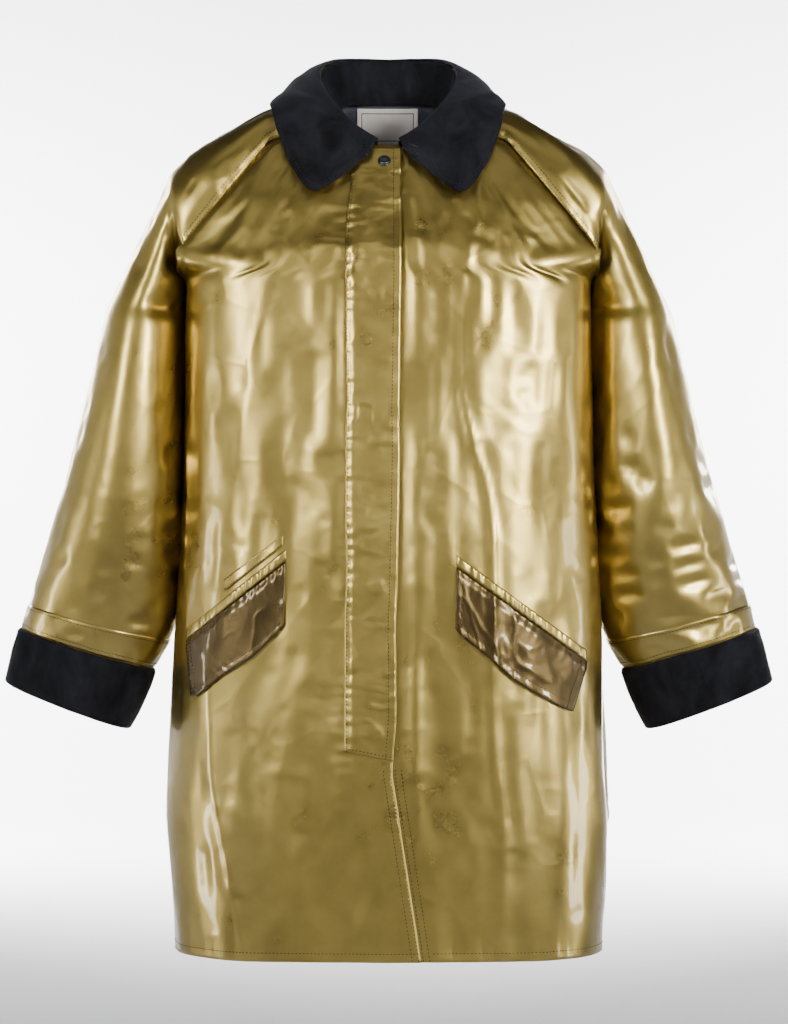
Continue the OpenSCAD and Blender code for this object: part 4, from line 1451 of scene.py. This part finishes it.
def sewn(name, lines, thread):
    points = []
    ways = []
    for line in lines:
        run = np.concatenate([[0], np.cumsum(np.linalg.norm(np.diff(line, axis=0), axis=1))])
        at = np.arange(threadLook["spacing"] / 2, run[-1], threadLook["spacing"])
        ahead = np.stack([np.interp(at + 0.6, run, line[:, k]) for k in range(3)], axis=1)
        behind = np.stack([np.interp(at - 0.6, run, line[:, k]) for k in range(3)], axis=1)
        points.append((ahead + behind) / 2)
        ways.append(ahead - behind)
    points = np.concatenate(points) * mm
    ways = np.concatenate(ways)
    mesh = bpy.data.meshes.new(name + "_points")
    mesh.from_pydata(points.tolist(), [], [])
    along = mesh.attributes.new("along", "FLOAT_VECTOR", "POINT")
    along.data.foreach_set("vector", ways.astype(np.float32).ravel())
    holder = bpy.data.objects.new(name + "_points", mesh)
    bpy.context.scene.collection.objects.link(holder)
    mod = holder.modifiers.new("stitches", "NODES")
    mod.node_group = stitches
    sockets = {s.name: s.identifier for s in stitches.interface.items_tree if s.in_out == "INPUT"}
    mod[sockets["Length"]] = threadLook["length"] * mm
    mod[sockets["Thickness"]] = threadLook["thickness"] * mm
    mod[sockets["Thread"]] = thread
    graph = bpy.context.evaluated_depsgraph_get()
    made = bpy.data.meshes.new_from_object(holder.evaluated_get(graph))
    bpy.data.objects.remove(holder)
    made.name = name
    made.polygons.foreach_set("use_smooth", [True] * len(made.polygons))
    obj = bpy.data.objects.new(name, made)
    bpy.context.scene.collection.objects.link(obj)
    return obj


blackThread = threadCloth("blackThread", (0.012, 0.012, 0.016, 1))
sit = threadLook["lift"]
torsoLines = []
for sideName, facing in (("right", -1), ("left", 1)):
    g = frontGrid[sideName]
    edge = 0.0 if sideName == "right" else 0.13
    torsoLines.append(lineOn(g, *downAt(g, 9, edge), facing, sit))
    tuck = 0 if sideName == "right" else bodyFolds["overlap"]
    for distance in (2.5, 9):
        torsoLines.append(lineOn(g, *acrossAt(g, tuck + distance, 0.0, 0.225), facing, sit))
    torsoLines.append(lineOn(g, *acrossAt(g, 3, 0.86, 1.0, True), facing, sit))
torsoLines.append(lineOn(backGrid, *downAt(backGrid, 9), -1, sit))
for sideName, facing in (("right", 1), ("left", -1)):
    g = sleeveGrid[sideName]
    for distance in (2.5, 8.5):
        for fromEnd in (False, True):
            torsoLines.append(lineOn(g, *acrossAt(g, distance, 0.0, 0.27, fromEnd), facing, sit))
torsoLines.append(lineOn(weltGrid, *downAt(weltGrid, 1.6), 1, sit))
torsoLines.append(lineOn(weltGrid, *downAt(weltGrid, 1.6, fromEnd=True), 1, sit))
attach(sewn("stitches_body", torsoLines, goldThreadPaintedShadow), "torso")

flyLines = [lineOn(flyGrid, *acrossAt(flyGrid, 3.0), 1, sit),
            lineOn(flyGrid, *acrossAt(flyGrid, 8.0, 0.0, 1.0, True), 1, sit),
            lineOn(flyGrid, *downAt(flyGrid, 4.0), 1, sit)]
flySewing = sewn("stitches_fly", flyLines, goldThreadPaintedShadow)
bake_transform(flySewing)

for sideName, sign in (("left", 1), ("right", -1)):
    g = flapGrid[sideName]
    lines = []
    for distance in (2.6, 8.6):
        lines.append(lineOn(g, *downAt(g, distance, 0.03, 0.97), 1, sit))
        lines.append(lineOn(g, *acrossAt(g, distance, 0.04, 0.97), 1, sit))
        lines.append(lineOn(g, *acrossAt(g, distance, 0.04, 0.97, True), 1, sit))
    sewing = sewn("stitches_flap_" + sideName, lines, goldThreadPaintedShadow)
    "flap_" + sideName
    flapFold(sideName)
    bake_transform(sewing)
    g = sleeveGrid[sideName]
    rows = [raglan["bandFrom"] + 0.006, raglan["bandTo"] - 0.008]
    lines = [ringOn(g, v, 1.35, -sign) for v in rows]
    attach(sewn("stitches_sleeve_" + sideName, lines, goldThreadPaintedShadow), "sleeve_" + sideName)
    g, face = collarGrid[sideName]
    raised = g + normalsOf(g, facing=face) * 4.4
    lines = [lineOn(raised, *downAt(raised, 7.5, 0.0, 0.94, True), face, 0.0),
             lineOn(raised, *acrossAt(raised, 7.5, 0.1, 0.84, True), face, 0.0)]
    sewing = sewn("stitches_collar_" + sideName, lines, blackThread)
    "collar_" + sideName
    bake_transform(sewing)
print("sewing ready")
